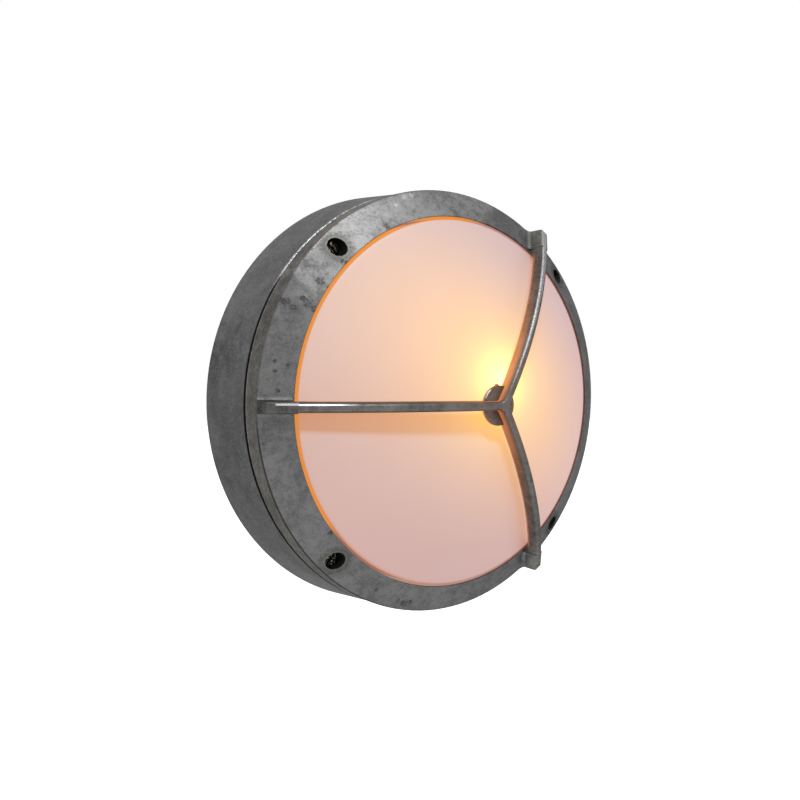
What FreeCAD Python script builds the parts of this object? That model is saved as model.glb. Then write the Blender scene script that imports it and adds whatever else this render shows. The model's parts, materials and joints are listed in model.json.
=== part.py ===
import FreeCAD, Part
import math
import os
import re
import Sketcher

# Outdoor wall light: a round cast aluminium bulkhead lamp with a three-armed guard.
# A bowl is screwed to the wall and carries the lamp holder on a steel bracket.
# A guard ring, cast in one piece with its three arms, holds an opal glass dome
# from behind with three clips, and four slotted screws hold the ring on the bowl.
#
# The origin is the middle of the bowl's back, in the plane of the wall.
# The light looks along -Y, +Z is up, and +X is to the right seen from the front.
# Round pieces are drawn in a bench frame that lies on the wall: x to the right,
# y up and z out of the wall, and are then stood up by their placement.
# All sizes are in millimetres and degrees.

os.makedirs("parts", exist_ok=True)
doc = FreeCAD.newDocument("outdoor_wall_light")

# Two lengths count as the same within CLOSE, and at the middle of a bent edge within NEARLY
CLOSE = 0.01
NEARLY = 0.5

# Driving sizes: name, value and meaning
SIZES = [
    ("overrun", 1, "all cuts, how far their outlines run past the metal"),
    ("base_rim_radius", 130.8, "bowl, outside radius at the rim"),
    ("base_flare", 5.2, "bowl, growth of its radius from the rim to the wall"),
    ("base_depth", 43.2, "bowl, wall plane to rim"),
    ("base_wall", 4.5, "bowl, thickness of the side wall"),
    ("base_floor", 5, "bowl, thickness of the back"),
    ("base_back_round", 1.5, "bowl, rounding of the edge at the wall"),
    ("base_rim_round", 0.8, "bowl, rounding of the rim's outer edge"),
    ("base_inner_round", 4, "bowl, rounding where the floor meets the wall"),
    ("gasket_thickness", 1.6, "rim gasket, squeezed thickness"),
    ("gasket_setback", 1.6, "rim gasket, how far it lies inside the rim's edge"),
    ("gasket_width", 2.6, "rim gasket, width across the rim"),
    ("ring_step", 0.1, "guard ring, how far its back lies inside the bowl's rim"),
    ("ring_draft", 0.7, "guard ring, taper of the side band"),
    ("ring_band", 12.5, "guard ring, height of the side band"),
    ("ring_rise", 9.4, "guard ring, rise of the sloping face"),
    ("ring_face", 17, "guard ring, width of the sloping face seen from the front"),
    ("ring_edge_round", 0.7, "guard ring, rounding of the outer edge"),
    ("ring_lip_round", 0.7, "guard ring, rounding at the opening"),
    ("rib_rise", 48.7, "guard, crown of the arms above the ring's front edge"),
    ("rib_arc_radius", 254, "guard, radius of the arms' front edge"),
    ("rib_depth", 8, "guard, arm depth from front to back"),
    ("rib_front_width", 4.6, "guard, arm width at the front"),
    ("rib_back_width", 6, "guard, arm width at the back"),
    ("rib_round", 1.8, "guard, rounding of the arms' front edges"),
    ("rib_count", 3, "guard, number of arms"),
    ("hub_rise", 0.1, "guard, hub at the crossing above the arms"),
    ("rib_angle", 180, "guard, angle of the first arm"),
    ("foot_setback", 3, "guard, distance of a foot's start from the opening"),
    ("foot_width", 6.2, "guard, width of an arm's foot"),
    ("foot_step", 0.25, "guard, step from the arm down to its foot"),
    ("foot_end_rise", 12.7, "guard, height of the foot's end above the ring's edge"),
    ("foot_round", 1.4, "guard, rounding of the foot's edges"),
    ("flare_reach", 2.6, "guard, radius of the hollow between a foot and the ring's face"),
    ("flare_setback", 1.2, "guard, distance of the hollow's end from the opening"),
    ("web_reach", 6.5, "guard, reach of the root web over the opening"),
    ("web_width", 5, "guard, width of the root web"),
    ("boss_radius", 11.8, "guard, radius of the disc behind the crossing"),
    ("boss_thickness", 2.5, "guard, thickness of the disc"),
    ("boss_setback", 6.3, "guard, disc face behind the crown"),
    ("boss_round", 0.8, "guard, rounding of the disc's edges"),
    ("nub_angle", 97, "guard, angle of the casting nub on the disc"),
    ("nub_radius", 1.4, "guard, radius of the casting nub"),
    ("nub_inset", 0.3, "guard, centre of the casting nub inside the disc's edge"),
    ("screw_setback", 8.4, "cover screws, distance of their circle inside the ring's edge"),
    ("screw_angle", 45, "cover screws, angle of the first"),
    ("screw_count", 4, "cover screws, how many"),
    ("screw_shank_radius", 2.5, "cover screw, shank radius"),
    ("screw_head_radius", 4.4, "cover screw, head radius"),
    ("screw_head_height", 4.5, "cover screw, head height"),
    ("screw_bite", 17, "cover screw, length inside the bowl's boss"),
    ("head_edge_share", 0.15, "screws, chamfer of the head as a share of its height"),
    ("slot_width", 1.2, "screws, width of the driver slot"),
    ("slot_share", 0.45, "screws, depth of the slot as a share of the head's height"),
    ("counterbore_radius", 5.2, "guard ring, radius of the screw recess"),
    ("counterbore_floor", 6.6, "guard ring, metal under the screw head"),
    ("hole_clearance", 0.25, "screws, play in a plain hole, on the radius"),
    ("thread_clearance", 0.05, "screws, play in a tapped hole, on the radius"),
    ("hole_spare", 1, "tapped holes, depth beyond the screw's end"),
    ("screw_boss_radius", 6, "bowl, radius of the cover screws' bosses"),
    ("flange_overlap", 3.5, "glass, reach of the flange behind the ring"),
    ("flange_thickness", 4, "glass, thickness of the flange"),
    ("flange_clearance", 0.5, "glass, play of the flange in the ring"),
    ("glass_gap", 1.5, "glass, gap to the ring's opening"),
    ("glass_wall", 4, "glass, thickness of the side and the dome"),
    ("glass_crown", 23.3, "glass, top of the dome above the ring's lip"),
    ("glass_dome_radius", 274, "glass, radius of the dome"),
    ("glass_corner", 3, "glass, rounding from the side to the dome"),
    ("seal_thickness", 1.6, "glass seal, squeezed thickness"),
    ("seal_play", 0.3, "glass seal, play beside the glass"),
    ("clip_thickness", 1.2, "glass clip, sheet thickness"),
    ("clip_width", 12, "glass clip, width"),
    ("clip_hold", 3.7, "glass clip, reach over the flange"),
    ("clip_gap", 1.4, "glass clip, gap to the rim gasket"),
    ("clip_corner", 2, "glass clip, cut of its corners"),
    ("clip_count", 3, "glass clips, how many"),
    ("clip_angle", 0, "glass clips, angle of the first"),
    ("small_screw_radius", 1.5, "small screws, shank radius"),
    ("small_head_radius", 2.7, "small screws, head radius"),
    ("small_head_height", 1.8, "small screws, head height"),
    ("clip_screw_bite", 6, "clip screw, length inside the ring"),
    ("wall_hole_circle", 95, "wall screws, radius of their circle"),
    ("wall_hole_angle", 45, "wall screws, angle of the first"),
    ("wall_hole_count", 4, "wall screws, how many"),
    ("wall_hole_radius", 3.25, "wall screws, radius of the holes"),
    ("wall_pad_radius", 9, "wall screws, radius of the raised pads"),
    ("wall_pad_height", 2, "wall screws, height of the raised pads"),
    ("floor_boss_radius", 5.2, "bowl, radius of the small bosses"),
    ("floor_boss_height", 4, "bowl, height of the small bosses"),
    ("floor_screw_radius", 2, "screws in the small bosses, shank radius"),
    ("floor_head_radius", 3.7, "screws in the small bosses, head radius"),
    ("floor_head_height", 2.4, "screws in the small bosses, head height"),
    ("floor_screw_bite", 5, "screws in the small bosses, length inside"),
    ("entry_right", -62, "cable entry, distance to the right of the middle"),
    ("entry_up", 22, "cable entry, distance above the middle"),
    ("entry_radius", 10, "cable entry, radius of the hole in the back"),
    ("entry_recess", 2.2, "cable entry, depth of the recess behind the back"),
    ("grommet_flange_radius", 13.5, "grommet, radius of both flanges"),
    ("grommet_flange", 2, "grommet, thickness of both flanges"),
    ("grommet_play", 0.1, "grommet, play in the back"),
    ("grommet_nose", 6, "grommet, length of the nose"),
    ("grommet_nose_radius", 6, "grommet, radius at the nose's end"),
    ("grommet_nose_taper", 1, "grommet, growth of the nose towards the flange"),
    ("grommet_bore_radius", 3.5, "grommet, radius of the bore"),
    ("lamp_right", 8, "lamp axis, distance to the right of the middle"),
    ("lamp_out", 48, "lamp axis, distance out of the wall"),
    ("lamp_low", 78, "lamp holder, distance of its foot below the middle"),
    ("holder_foot_radius", 21, "holder, radius of the foot"),
    ("holder_radius", 19.5, "holder, radius of the barrel"),
    ("holder_foot_height", 20, "holder, height of the foot"),
    ("holder_length", 52, "holder, overall height"),
    ("holder_bore_radius", 14.6, "holder, radius of the bore"),
    ("holder_bore_depth", 28, "holder, depth of the bore"),
    ("notch_depth", 6.6, "holder, depth of the terminal notches"),
    ("notch_low", 6, "holder, lower edge of the terminal notches"),
    ("notch_high", 18, "holder, upper edge of the terminal notches"),
    ("terminal_height", 12, "holder, height of the terminal screws"),
    ("terminal_bite", 5, "holder, length of a terminal screw in the body"),
    ("shell_thickness", 0.8, "threaded shell, wall"),
    ("shell_length", 20, "threaded shell, length"),
    ("shell_play", 0.2, "threaded shell, play in the bore and round the cap"),
    ("shell_drop", 2, "threaded shell, distance below the holder's mouth"),
    ("contact_radius", 4.5, "centre contact, radius"),
    ("contact_height", 3.8, "centre contact, height above the bore's floor"),
    ("contact_gap", 0.2, "centre contact, gap below the lamp's tip"),
    ("fixing_offset", 10, "holder, offset of the fixing screws"),
    ("fixing_bite", 6, "holder, length of a fixing screw in the body"),
    ("bulb_radius", 30, "lamp, radius of the envelope"),
    ("bulb_centre", 75, "lamp, height of the envelope's centre above the tip"),
    ("bulb_neck_radius", 14.5, "lamp, radius of the neck"),
    ("cap_cone_share", 0.85, "lamp, top of the insulating cone as a share of the cap"),
    ("bulb_slope", 25, "lamp, angle where the envelope leaves the sphere"),
    ("cap_length", 27, "lamp, length of the cap with its tip"),
    ("tip_radius", 4, "lamp, radius of the tip contact"),
    ("tip_height", 2, "lamp, height of the tip contact"),
    ("cap_cone", 4, "lamp, height of the insulating cone above the tip"),
    ("bracket_thickness", 2, "bracket, sheet thickness"),
    ("bracket_width", 30, "bracket, width"),
    ("bracket_foot", 26, "bracket, length of the foot on the bowl"),
    ("bracket_bend", 0.8, "bracket, inside radius of the bend"),
    ("bracket_overhang", 20, "bracket, arm length beyond the lamp axis"),
    ("bracket_screw_offset", 9, "bracket screws, offset from the lamp axis"),
    ("bracket_screw_drop", 14, "bracket screws, distance below the holder's foot"),
    ("bracket_window", 6, "bracket, radius of the hole under the holder"),
    ("block_right", -60, "terminal block, middle, to the right"),
    ("block_up", -22, "terminal block, middle, up"),
    ("block_pitch", 10, "terminal block, distance between the poles"),
    ("block_height", 15, "terminal block, height"),
    ("block_depth", 20, "terminal block, length along the wires"),
    ("block_lug", 9, "terminal block, length of each fixing lug"),
    ("block_lug_height", 5, "terminal block, height of the lugs"),
    ("block_groove", 1.6, "terminal block, width of the grooves between poles"),
    ("block_groove_depth", 6, "terminal block, depth of those grooves"),
    ("sleeve_height", 6, "terminal sleeves, axis above the block's seat"),
    ("sleeve_radius", 2.7, "terminal sleeves, outside radius"),
    ("sleeve_bore_radius", 1.7, "terminal sleeves, bore radius"),
    ("sleeve_length", 17, "terminal sleeves, length"),
    ("sleeve_play", 0.1, "terminal sleeves, play in the block"),
    ("clamp_screw_radius", 1.6, "terminal block, radius of the clamp screws"),
    ("clamp_screw_length", 4.5, "terminal block, length of the clamp screws"),
    ("clamp_screw_offset", 5, "terminal block, clamp screws from the middle"),
    ("lead_radius", 1.2, "leads, outside radius"),
    ("lead_play", 0.05, "leads, play where they are clamped"),
    ("lead_insert", 5, "leads, length inside a terminal sleeve"),
    ("earth_right", -98, "earth screw, distance to the right of the middle"),
    ("earth_up", -56, "earth screw, distance above the middle"),
    ("lug_thickness", 0.8, "earth lug, sheet thickness"),
    ("lug_radius", 4.2, "earth lug, radius round the screw"),
    ("washer_radius", 4, "earth washer, outside radius"),
    ("washer_thickness", 1, "earth washer, thickness"),
    ("barrel_start", 6, "earth lug, distance of the barrel from the screw"),
    ("barrel_length", 8, "earth lug, length of the barrel"),
    ("barrel_wall", 0.6, "earth lug, wall of the barrel"),
]

sheet = doc.addObject("Spreadsheet::Sheet", "Sizes")
for row, (name, value, meaning) in enumerate(SIZES, start=1):
    sheet.set(f"A{row}", meaning)
    sheet.set(f"B{row}", str(value))
    sheet.setAlias(f"B{row}", name)
doc.recompute()
NAMES = {name for name, value, meaning in SIZES}

# Radii, levels out of the wall and other sizes that follow from the driving ones
FOLLOWING = {
    "base_back_radius": "base_rim_radius + base_flare",
    "ring_back_radius": "base_rim_radius - ring_step",
    "ring_radius": "ring_back_radius - ring_draft",
    "ring_opening_radius": "ring_radius - ring_face",
    "ring_back_level": "base_depth + gasket_thickness",
    "ring_edge_level": "ring_back_level + ring_band",
    "ring_lip_level": "ring_edge_level + ring_rise",
    "crown_level": "ring_edge_level + rib_rise",
    "arm_start": "rib_back_width / 2 / tan(180 / rib_count) + hub_rise",
    "hub_radius": "sqrt(arm_start^2 + rib_back_width^2 / 4) + hub_rise",
    "foot_start_radius": "ring_opening_radius + foot_setback",
    "ring_turn": "rib_angle - 180",
    "screw_circle": "ring_radius - screw_setback",
    "counterbore_level": "ring_back_level + counterbore_floor",
    "gasket_outer_radius": "base_rim_radius - gasket_setback",
    "gasket_inner_radius": "gasket_outer_radius - gasket_width",
    "flange_radius": "ring_opening_radius + flange_overlap",
    "flange_front_level": "ring_back_level + flange_thickness",
    "pocket_radius": "flange_radius + flange_clearance",
    "pocket_top_level": "flange_front_level + seal_thickness",
    "glass_side_radius": "ring_opening_radius - glass_gap",
    "glass_top_level": "ring_lip_level + glass_crown",
    "clip_inner_radius": "flange_radius - clip_hold",
    "clip_outer_radius": "gasket_inner_radius - clip_gap",
    "clip_screw_circle": "(pocket_radius + clip_outer_radius) / 2",
    "floor_seat_level": "base_floor + floor_boss_height",
    "bracket_screw_up": "-lamp_low - bracket_screw_drop",
    "cap_radius": "holder_bore_radius - shell_thickness - 2 * shell_play",
    "holder_bore_floor": "holder_length - holder_bore_depth",
    "tip_level": "holder_bore_floor + contact_height + contact_gap",
    "notch_floor": "holder_foot_radius - notch_depth",
    "sleeve_level": "floor_seat_level + sleeve_height",
    "barrel_bore": "lead_radius + lead_play",
    "barrel_level": "floor_seat_level + barrel_bore + barrel_wall",
    "lead_reach": "notch_floor + lead_radius + lead_play",
    "lead_up": "terminal_height - lamp_low - small_screw_radius - lead_radius - lead_play",
}
SMALL_HEAD = ("small_head_radius", "small_head_height")


def spelled_out(formula):
    """A formula with every following size replaced by its own formula."""

    def own_formula(word):
        name = word.group()
        return f"({spelled_out(FOLLOWING[name])})" if name in FOLLOWING else name

    return re.sub(r"[a-z]\w*", own_formula, formula)


def linked(formula):
    """A formula in which every driving size points at its cell in the sheet."""

    def cell(word):
        return "Sizes." + word.group() if word.group() in NAMES else word.group()

    return re.sub(r"[a-z]\w*", cell, spelled_out(formula))


def number(formula):
    """The present value of a formula of named sizes."""
    return float(sheet.evalExpression(spelled_out(formula)))


def on_arm_front(radius):
    """Level of an arm's front edge at a radius."""
    return f"(crown_level - rib_arc_radius + sqrt(rib_arc_radius^2 - ({radius})^2))"


def on_dome(radius):
    """Level of the glass dome's outside at a radius."""
    return f"(glass_top_level - glass_dome_radius + sqrt(glass_dome_radius^2 - ({radius})^2))"


def bowl_outside(level):
    """Outside radius of the bowl at a level."""
    taper = "((base_back_radius - base_rim_radius) / base_depth)"
    return f"(base_back_radius - {taper} * ({level}))"


# Drawing helpers


def new_body(label):
    """An empty body whose label names its file."""
    body = doc.addObject("PartDesign::Body", label)
    body.Label = label
    return body


def origin_feature(body, role):
    """A plane or axis of the body's own origin."""
    return next(item for item in body.Origin.OriginFeatures if item.Role == role)


def new_sketch(body, name, role, right="0", up="0", lift="0", turn="0"):
    """A sketch on an origin plane, shifted in it, lifted off it and turned."""
    sketch = body.newObject("Sketcher::SketchObject", name)
    sketch.AttachmentSupport = [(origin_feature(body, role), "")]
    sketch.MapMode = "FlatFace"
    turned = FreeCAD.Rotation(FreeCAD.Vector(0, 0, 1), number(turn))
    sketch.AttachmentOffset = FreeCAD.Placement(FreeCAD.Vector(), turned)
    for part, formula in (("Base.x", right), ("Base.y", up), ("Base.z", lift)):
        sketch.setExpression(f"AttachmentOffset.{part}", linked(formula))
    return sketch


def fix(sketch, kind, geometry, point, formula, name):
    """Hold one coordinate of a point at a formula of named sizes."""
    held = Sketcher.Constraint(kind, -1, 1, geometry, point, number(formula))
    index = sketch.addConstraint(held)
    sketch.renameConstraint(index, name)
    sketch.setExpression(f"Constraints.{name}", linked(formula))


def minor_arc(start, end, centre):
    """The short arc between two points, and whether it runs anticlockwise."""
    first = math.atan2(start.y - centre.y, start.x - centre.x)
    last = math.atan2(end.y - centre.y, end.x - centre.x)
    forward = (last - first) % (2 * math.pi) < math.pi
    if not forward:
        first, last = last, first
    if last < first:
        last += 2 * math.pi
    circle = Part.Circle(centre, FreeCAD.Vector(0, 0, 1), start.distanceToPoint(centre))
    return Part.ArcOfCircle(circle, first, last), forward


def outline(sketch, corners, arcs=None, closed=True):
    """Join corners, pairs of formulas, with lines, or with arcs about given centres."""
    arcs = arcs or {}
    points = [FreeCAD.Vector(number(x), number(y), 0) for x, y in corners]
    count = len(points) if closed else len(points) - 1
    ends = []
    for side in range(count):
        start, end = points[side], points[(side + 1) % len(points)]
        if side in arcs:
            centre = FreeCAD.Vector(number(arcs[side][0]), number(arcs[side][1]), 0)
            arc, forward = minor_arc(start, end, centre)
            geometry = sketch.addGeometry(arc, False)
            ends.append((geometry, 1, 2) if forward else (geometry, 2, 1))
        else:
            geometry = sketch.addGeometry(Part.LineSegment(start, end), False)
            ends.append((geometry, 1, 2))
    for side in range(count):
        geometry, first, last = ends[side]
        fix(sketch, "DistanceX", geometry, first, corners[side][0], f"x{side}")
        fix(sketch, "DistanceY", geometry, first, corners[side][1], f"y{side}")
        if closed or side + 1 < count:
            following = ends[(side + 1) % count]
            joint = Sketcher.Constraint("Coincident", geometry, last, following[0], following[1])
            sketch.addConstraint(joint)
        else:
            fix(sketch, "DistanceX", geometry, last, corners[side + 1][0], f"x{side + 1}")
            fix(sketch, "DistanceY", geometry, last, corners[side + 1][1], f"y{side + 1}")
        if side in arcs:
            chord = points[(side + 1) % len(points)] - points[side]
            flat = abs(chord.x) > abs(chord.y)
            kind, formula = ("DistanceY", arcs[side][1]) if flat else ("DistanceX", arcs[side][0])
            fix(sketch, kind, geometry, 3, formula, f"c{side}")
    return sketch


def circles(sketch, places, radius):
    """Full circles of one radius at pairs of formulas."""
    for index, (x, y) in enumerate(places):
        centre = FreeCAD.Vector(number(x), number(y), 0)
        circle = Part.Circle(centre, FreeCAD.Vector(0, 0, 1), number(radius))
        geometry = sketch.addGeometry(circle, False)
        fix(sketch, "DistanceX", geometry, 3, x, f"x{index}")
        fix(sketch, "DistanceY", geometry, 3, y, f"y{index}")
        row = sketch.addConstraint(Sketcher.Constraint("Radius", geometry, number(radius)))
        sketch.renameConstraint(row, f"r{index}")
        sketch.setExpression(f"Constraints.r{index}", linked(radius))
    return sketch


def rectangle(sketch, left, low, right, high):
    """A rectangle between two pairs of formulas."""
    return outline(sketch, [(left, low), (right, low), (right, high), (left, high)])


def feature(body, kind, name, sketch):
    """A new feature of a body that uses a sketch."""
    made = body.newObject(f"PartDesign::{kind}", name)
    made.Profile = sketch
    return made


def pad(sketch, length, both_ways=False, backwards=False):
    """Thicken a sketch along its normal, or half each way."""
    made = feature(sketch.getParentGeoFeatureGroup(), "Pad", sketch.Name + "_pad", sketch)
    made.SideType = "Symmetric" if both_ways else "One side"
    made.Reversed = backwards
    made.setExpression("Length", linked(length))
    return made


def cut(sketch, length=None, towards_front=False):
    """Cut a sketch through everything, or to a depth below or above it."""
    body = sketch.getParentGeoFeatureGroup()
    doc.recompute()
    before = body.Shape.Volume
    made = feature(body, "Pocket", sketch.Name + "_cut", sketch)
    if length is None:
        made.Type = "ThroughAll"
        made.SideType = "Symmetric"
    else:
        made.Reversed = towards_front
        made.setExpression("Length", linked(length))
    doc.recompute()
    if made.Shape.Volume >= before:
        raise RuntimeError(f"{made.Name} cuts nothing")
    return made


def turned(sketch):
    """Revolve a sketch about its own upright axis."""
    body = sketch.getParentGeoFeatureGroup()
    made = feature(body, "Revolution", sketch.Name + "_turned", sketch)
    made.ReferenceAxis = (sketch, ["V_Axis"])
    made.Angle = 360
    return made


def turned_away(sketch):
    """Cut what a revolved sketch sweeps out."""
    made = feature(sketch.getParentGeoFeatureGroup(), "Groove", sketch.Name + "_away", sketch)
    made.ReferenceAxis = (sketch, ["V_Axis"])
    made.Angle = 360
    return made


def round_edges(body, name, radius, wanted):
    """Round the edges of the body's present shape that a test picks."""
    doc.recompute()
    base = body.Tip
    picked = [f"Edge{i}" for i, edge in enumerate(base.Shape.Edges, start=1) if wanted(edge)]
    if not picked:
        raise RuntimeError(f"{name} finds no edge")
    made = body.newObject("PartDesign::Fillet", name)
    made.Base = (base, picked)
    made.setExpression("Radius", linked(radius))
    return made


def is_circle(edge, radius, level):
    """Whether an edge is a circle of this radius about z at this level."""
    curve = edge.Curve
    if not isinstance(curve, Part.Circle):
        return False
    same_radius = abs(curve.Radius - number(radius)) < CLOSE
    return same_radius and abs(curve.Center.z - number(level)) < CLOSE


def repeat(body, name, originals, count):
    """Repeat features evenly about the z axis."""
    made = body.newObject("PartDesign::PolarPattern", name)
    made.Originals = originals
    made.Axis = (origin_feature(body, "Z_Axis"), [""])
    made.Angle = 360
    made.setExpression("Occurrences", linked(count))
    body.Tip = made
    return made


def on_wall(body, turn="0"):
    """Stand a piece drawn on the bench frame up against the wall."""
    upright = FreeCAD.Rotation(FreeCAD.Vector(1, 0, 0), 90)
    about_axis = FreeCAD.Rotation(FreeCAD.Vector(0, 0, 1), number(turn))
    body.Placement = FreeCAD.Placement(FreeCAD.Vector(), upright.multiply(about_axis))
    return body


def on_lamp_axis(body, level="0"):
    """Set an upright piece on the lamp axis, above the holder's foot."""
    place = FreeCAD.Vector(number("lamp_right"), -number("lamp_out"), number(f"{level} - lamp_low"))
    body.Placement = FreeCAD.Placement(place, FreeCAD.Rotation())
    return body


def around(radius, angle):
    """A place at a radius and an angle about the middle."""
    return f"({radius}) * cos({angle})", f"({radius}) * sin({angle})"


def add_slotted_screw(body, right, up, seat, head, shank, facing="+"):
    """A slotted screw along z; head and shank are each a radius and a length."""
    name = f"screw_{len(body.Group)}"
    head_radius, head_height = head
    shank_radius, shank_length = shank
    back = "-" if facing == "+" else "+"
    edge = f"({head_height} * head_edge_share)"
    top = f"({seat} {facing} {head_height})"
    point = f"({seat} {back} ({shank_length}))"
    profile = new_sketch(body, name, "XZ_Plane", right=right, lift=f"-({up})")
    outline(profile, [
        ("0", point),
        (shank_radius, point),
        (shank_radius, seat),
        (head_radius, seat),
        (head_radius, f"{top} {back} {edge}"),
        (f"{head_radius} - {edge}", top),
        ("0", top),
    ])
    solid = turned(profile)
    slot = new_sketch(body, f"{name}_slot", "XY_Plane", right=right, up=up, lift=top)
    half = f"({head_radius} + overrun)"
    rectangle(slot, f"-{half}", "-slot_width / 2", half, "slot_width / 2")
    groove = cut(slot, f"{head_height} * slot_share", towards_front=facing == "-")
    return [solid, groove]


# Bowl


def base_housing():
    """The cast bowl with its bosses, wall holes and cable entry."""
    body = new_body("base_housing")
    wall_inside = f"({bowl_outside('base_floor')} - base_wall)"
    section = new_sketch(body, "bowl_section", "XZ_Plane")
    outline(section, [
        ("0", "0"),
        ("base_back_radius", "0"),
        ("base_rim_radius", "base_depth"),
        ("base_rim_radius - base_wall", "base_depth"),
        (wall_inside, "base_floor"),
        ("0", "base_floor"),
    ])
    turned(section)
    round_edges(body, "bowl_back_edge", "base_back_round",
                lambda edge: is_circle(edge, "base_back_radius", "0"))
    round_edges(body, "bowl_rim_edge", "base_rim_round",
                lambda edge: is_circle(edge, "base_rim_radius", "base_depth"))
    round_edges(body, "bowl_floor_edge", "base_inner_round",
                lambda edge: is_circle(edge, wall_inside, "base_floor"))
    add_cover_screw_bosses(body)
    add_wall_pads(body)
    add_floor_bosses(body)
    hole = new_sketch(body, "entry_hole", "XY_Plane")
    cut(circles(hole, [("entry_right", "entry_up")], "entry_radius"))
    recess = new_sketch(body, "entry_recess_outline", "XY_Plane")
    circles(recess, [("entry_right", "entry_up")], "grommet_flange_radius + grommet_play")
    cut(recess, "entry_recess", towards_front=True)
    return on_wall(body)


def add_cover_screw_bosses(body):
    """Four tapped bosses that stand on the floor and grow into the side wall."""
    levels = [("boss_foot", "base_floor / 2"), ("boss_top", "base_depth")]
    sections = []
    for name, level in levels:
        sketch = new_sketch(body, name, "XY_Plane", lift=level, turn="screw_angle")
        into_wall = f"({bowl_outside(level)} - base_wall / 2)"
        middle = ("screw_circle", "0")
        outline(sketch, [
            ("screw_circle", "-screw_boss_radius"),
            (into_wall, "-screw_boss_radius"),
            (into_wall, "screw_boss_radius"),
            ("screw_circle", "screw_boss_radius"),
            ("screw_circle - screw_boss_radius", "0"),
        ], {3: middle, 4: middle})
        sections.append(sketch)
    boss = feature(body, "AdditiveLoft", "screw_boss", sections[0])
    boss.Sections = [(sections[1], [""])]
    repeat(body, "screw_bosses", [boss], "screw_count")
    tapped = new_sketch(body, "screw_tapping", "XY_Plane", lift="base_depth")
    circles(tapped, [around("screw_circle", "screw_angle")], "screw_shank_radius + thread_clearance")
    hole = cut(tapped, "screw_bite + hole_spare")
    repeat(body, "screw_tappings", [hole], "screw_count")


def add_wall_pads(body):
    """Raised pads with the holes for the wall screws."""
    place = around("wall_hole_circle", "wall_hole_angle")
    outer = new_sketch(body, "wall_pad", "XY_Plane", lift="base_floor / 2")
    circles(outer, [place], "wall_pad_radius")
    raised = pad(outer, "base_floor / 2 + wall_pad_height")
    repeat(body, "wall_pads", [raised], "wall_hole_count")
    inner = new_sketch(body, "wall_hole", "XY_Plane")
    hole = cut(circles(inner, [place], "wall_hole_radius"))
    repeat(body, "wall_holes", [hole], "wall_hole_count")


def bracket_screw_places():
    """Where the bracket's screws go through its foot."""
    return [(f"lamp_right {sign} bracket_screw_offset", "bracket_screw_up") for sign in "-+"]


def block_screw_places():
    """Where the terminal block's screws go through its lugs."""
    reach = "(1.5 * block_pitch + block_lug / 2)"
    return [(f"block_right {sign} {reach}", "block_up") for sign in "-+"]


def add_floor_bosses(body):
    """Small tapped bosses for the bracket, the terminal block and the earth screw."""
    places = bracket_screw_places() + block_screw_places() + [("earth_right", "earth_up")]
    outer = new_sketch(body, "floor_boss", "XY_Plane", lift="base_floor / 2")
    pad(circles(outer, places, "floor_boss_radius"), "base_floor / 2 + floor_boss_height")
    inner = new_sketch(body, "floor_tapping", "XY_Plane", lift="floor_seat_level")
    circles(inner, places, "floor_screw_radius + thread_clearance")
    cut(inner, "floor_screw_bite + hole_spare")


# Guard ring


def guard_ring():
    """The ring, its three arms, their feet and the centre disc, all one casting."""
    body = new_body("guard_ring")
    add_centre_disc(body)
    add_arms(body)
    add_ring(body)
    add_ring_holes(body)
    return on_wall(body, turn="ring_turn")


def add_centre_disc(body):
    """The flat disc behind the arms, its casting nub and the hub where the arms meet."""
    disc = new_sketch(body, "disc_section", "XZ_Plane")
    face = "(crown_level - boss_setback)"
    back = f"({face} - boss_thickness)"
    inner = "(boss_radius - boss_round)"
    hub_top = "(crown_level + hub_rise)"
    outline(disc, [
        ("0", back),
        (inner, back),
        ("boss_radius", f"{back} + boss_round"),
        ("boss_radius", f"{face} - boss_round"),
        (inner, face),
        ("hub_radius", face),
        ("hub_radius", f"{hub_top} - rib_round"),
        ("hub_radius - rib_round", hub_top),
        ("0", hub_top),
    ], {1: (inner, f"{back} + boss_round"),
        3: (inner, f"{face} - boss_round"),
        6: ("hub_radius - rib_round", f"{hub_top} - rib_round")})
    turned(disc)
    nub = new_sketch(body, "casting_nub", "XY_Plane", lift=f"{back} + boss_round")
    place = around("boss_radius - nub_inset", "nub_angle - ring_turn")
    pad(circles(nub, [place], "nub_radius"), "boss_thickness - 2 * boss_round")


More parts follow.
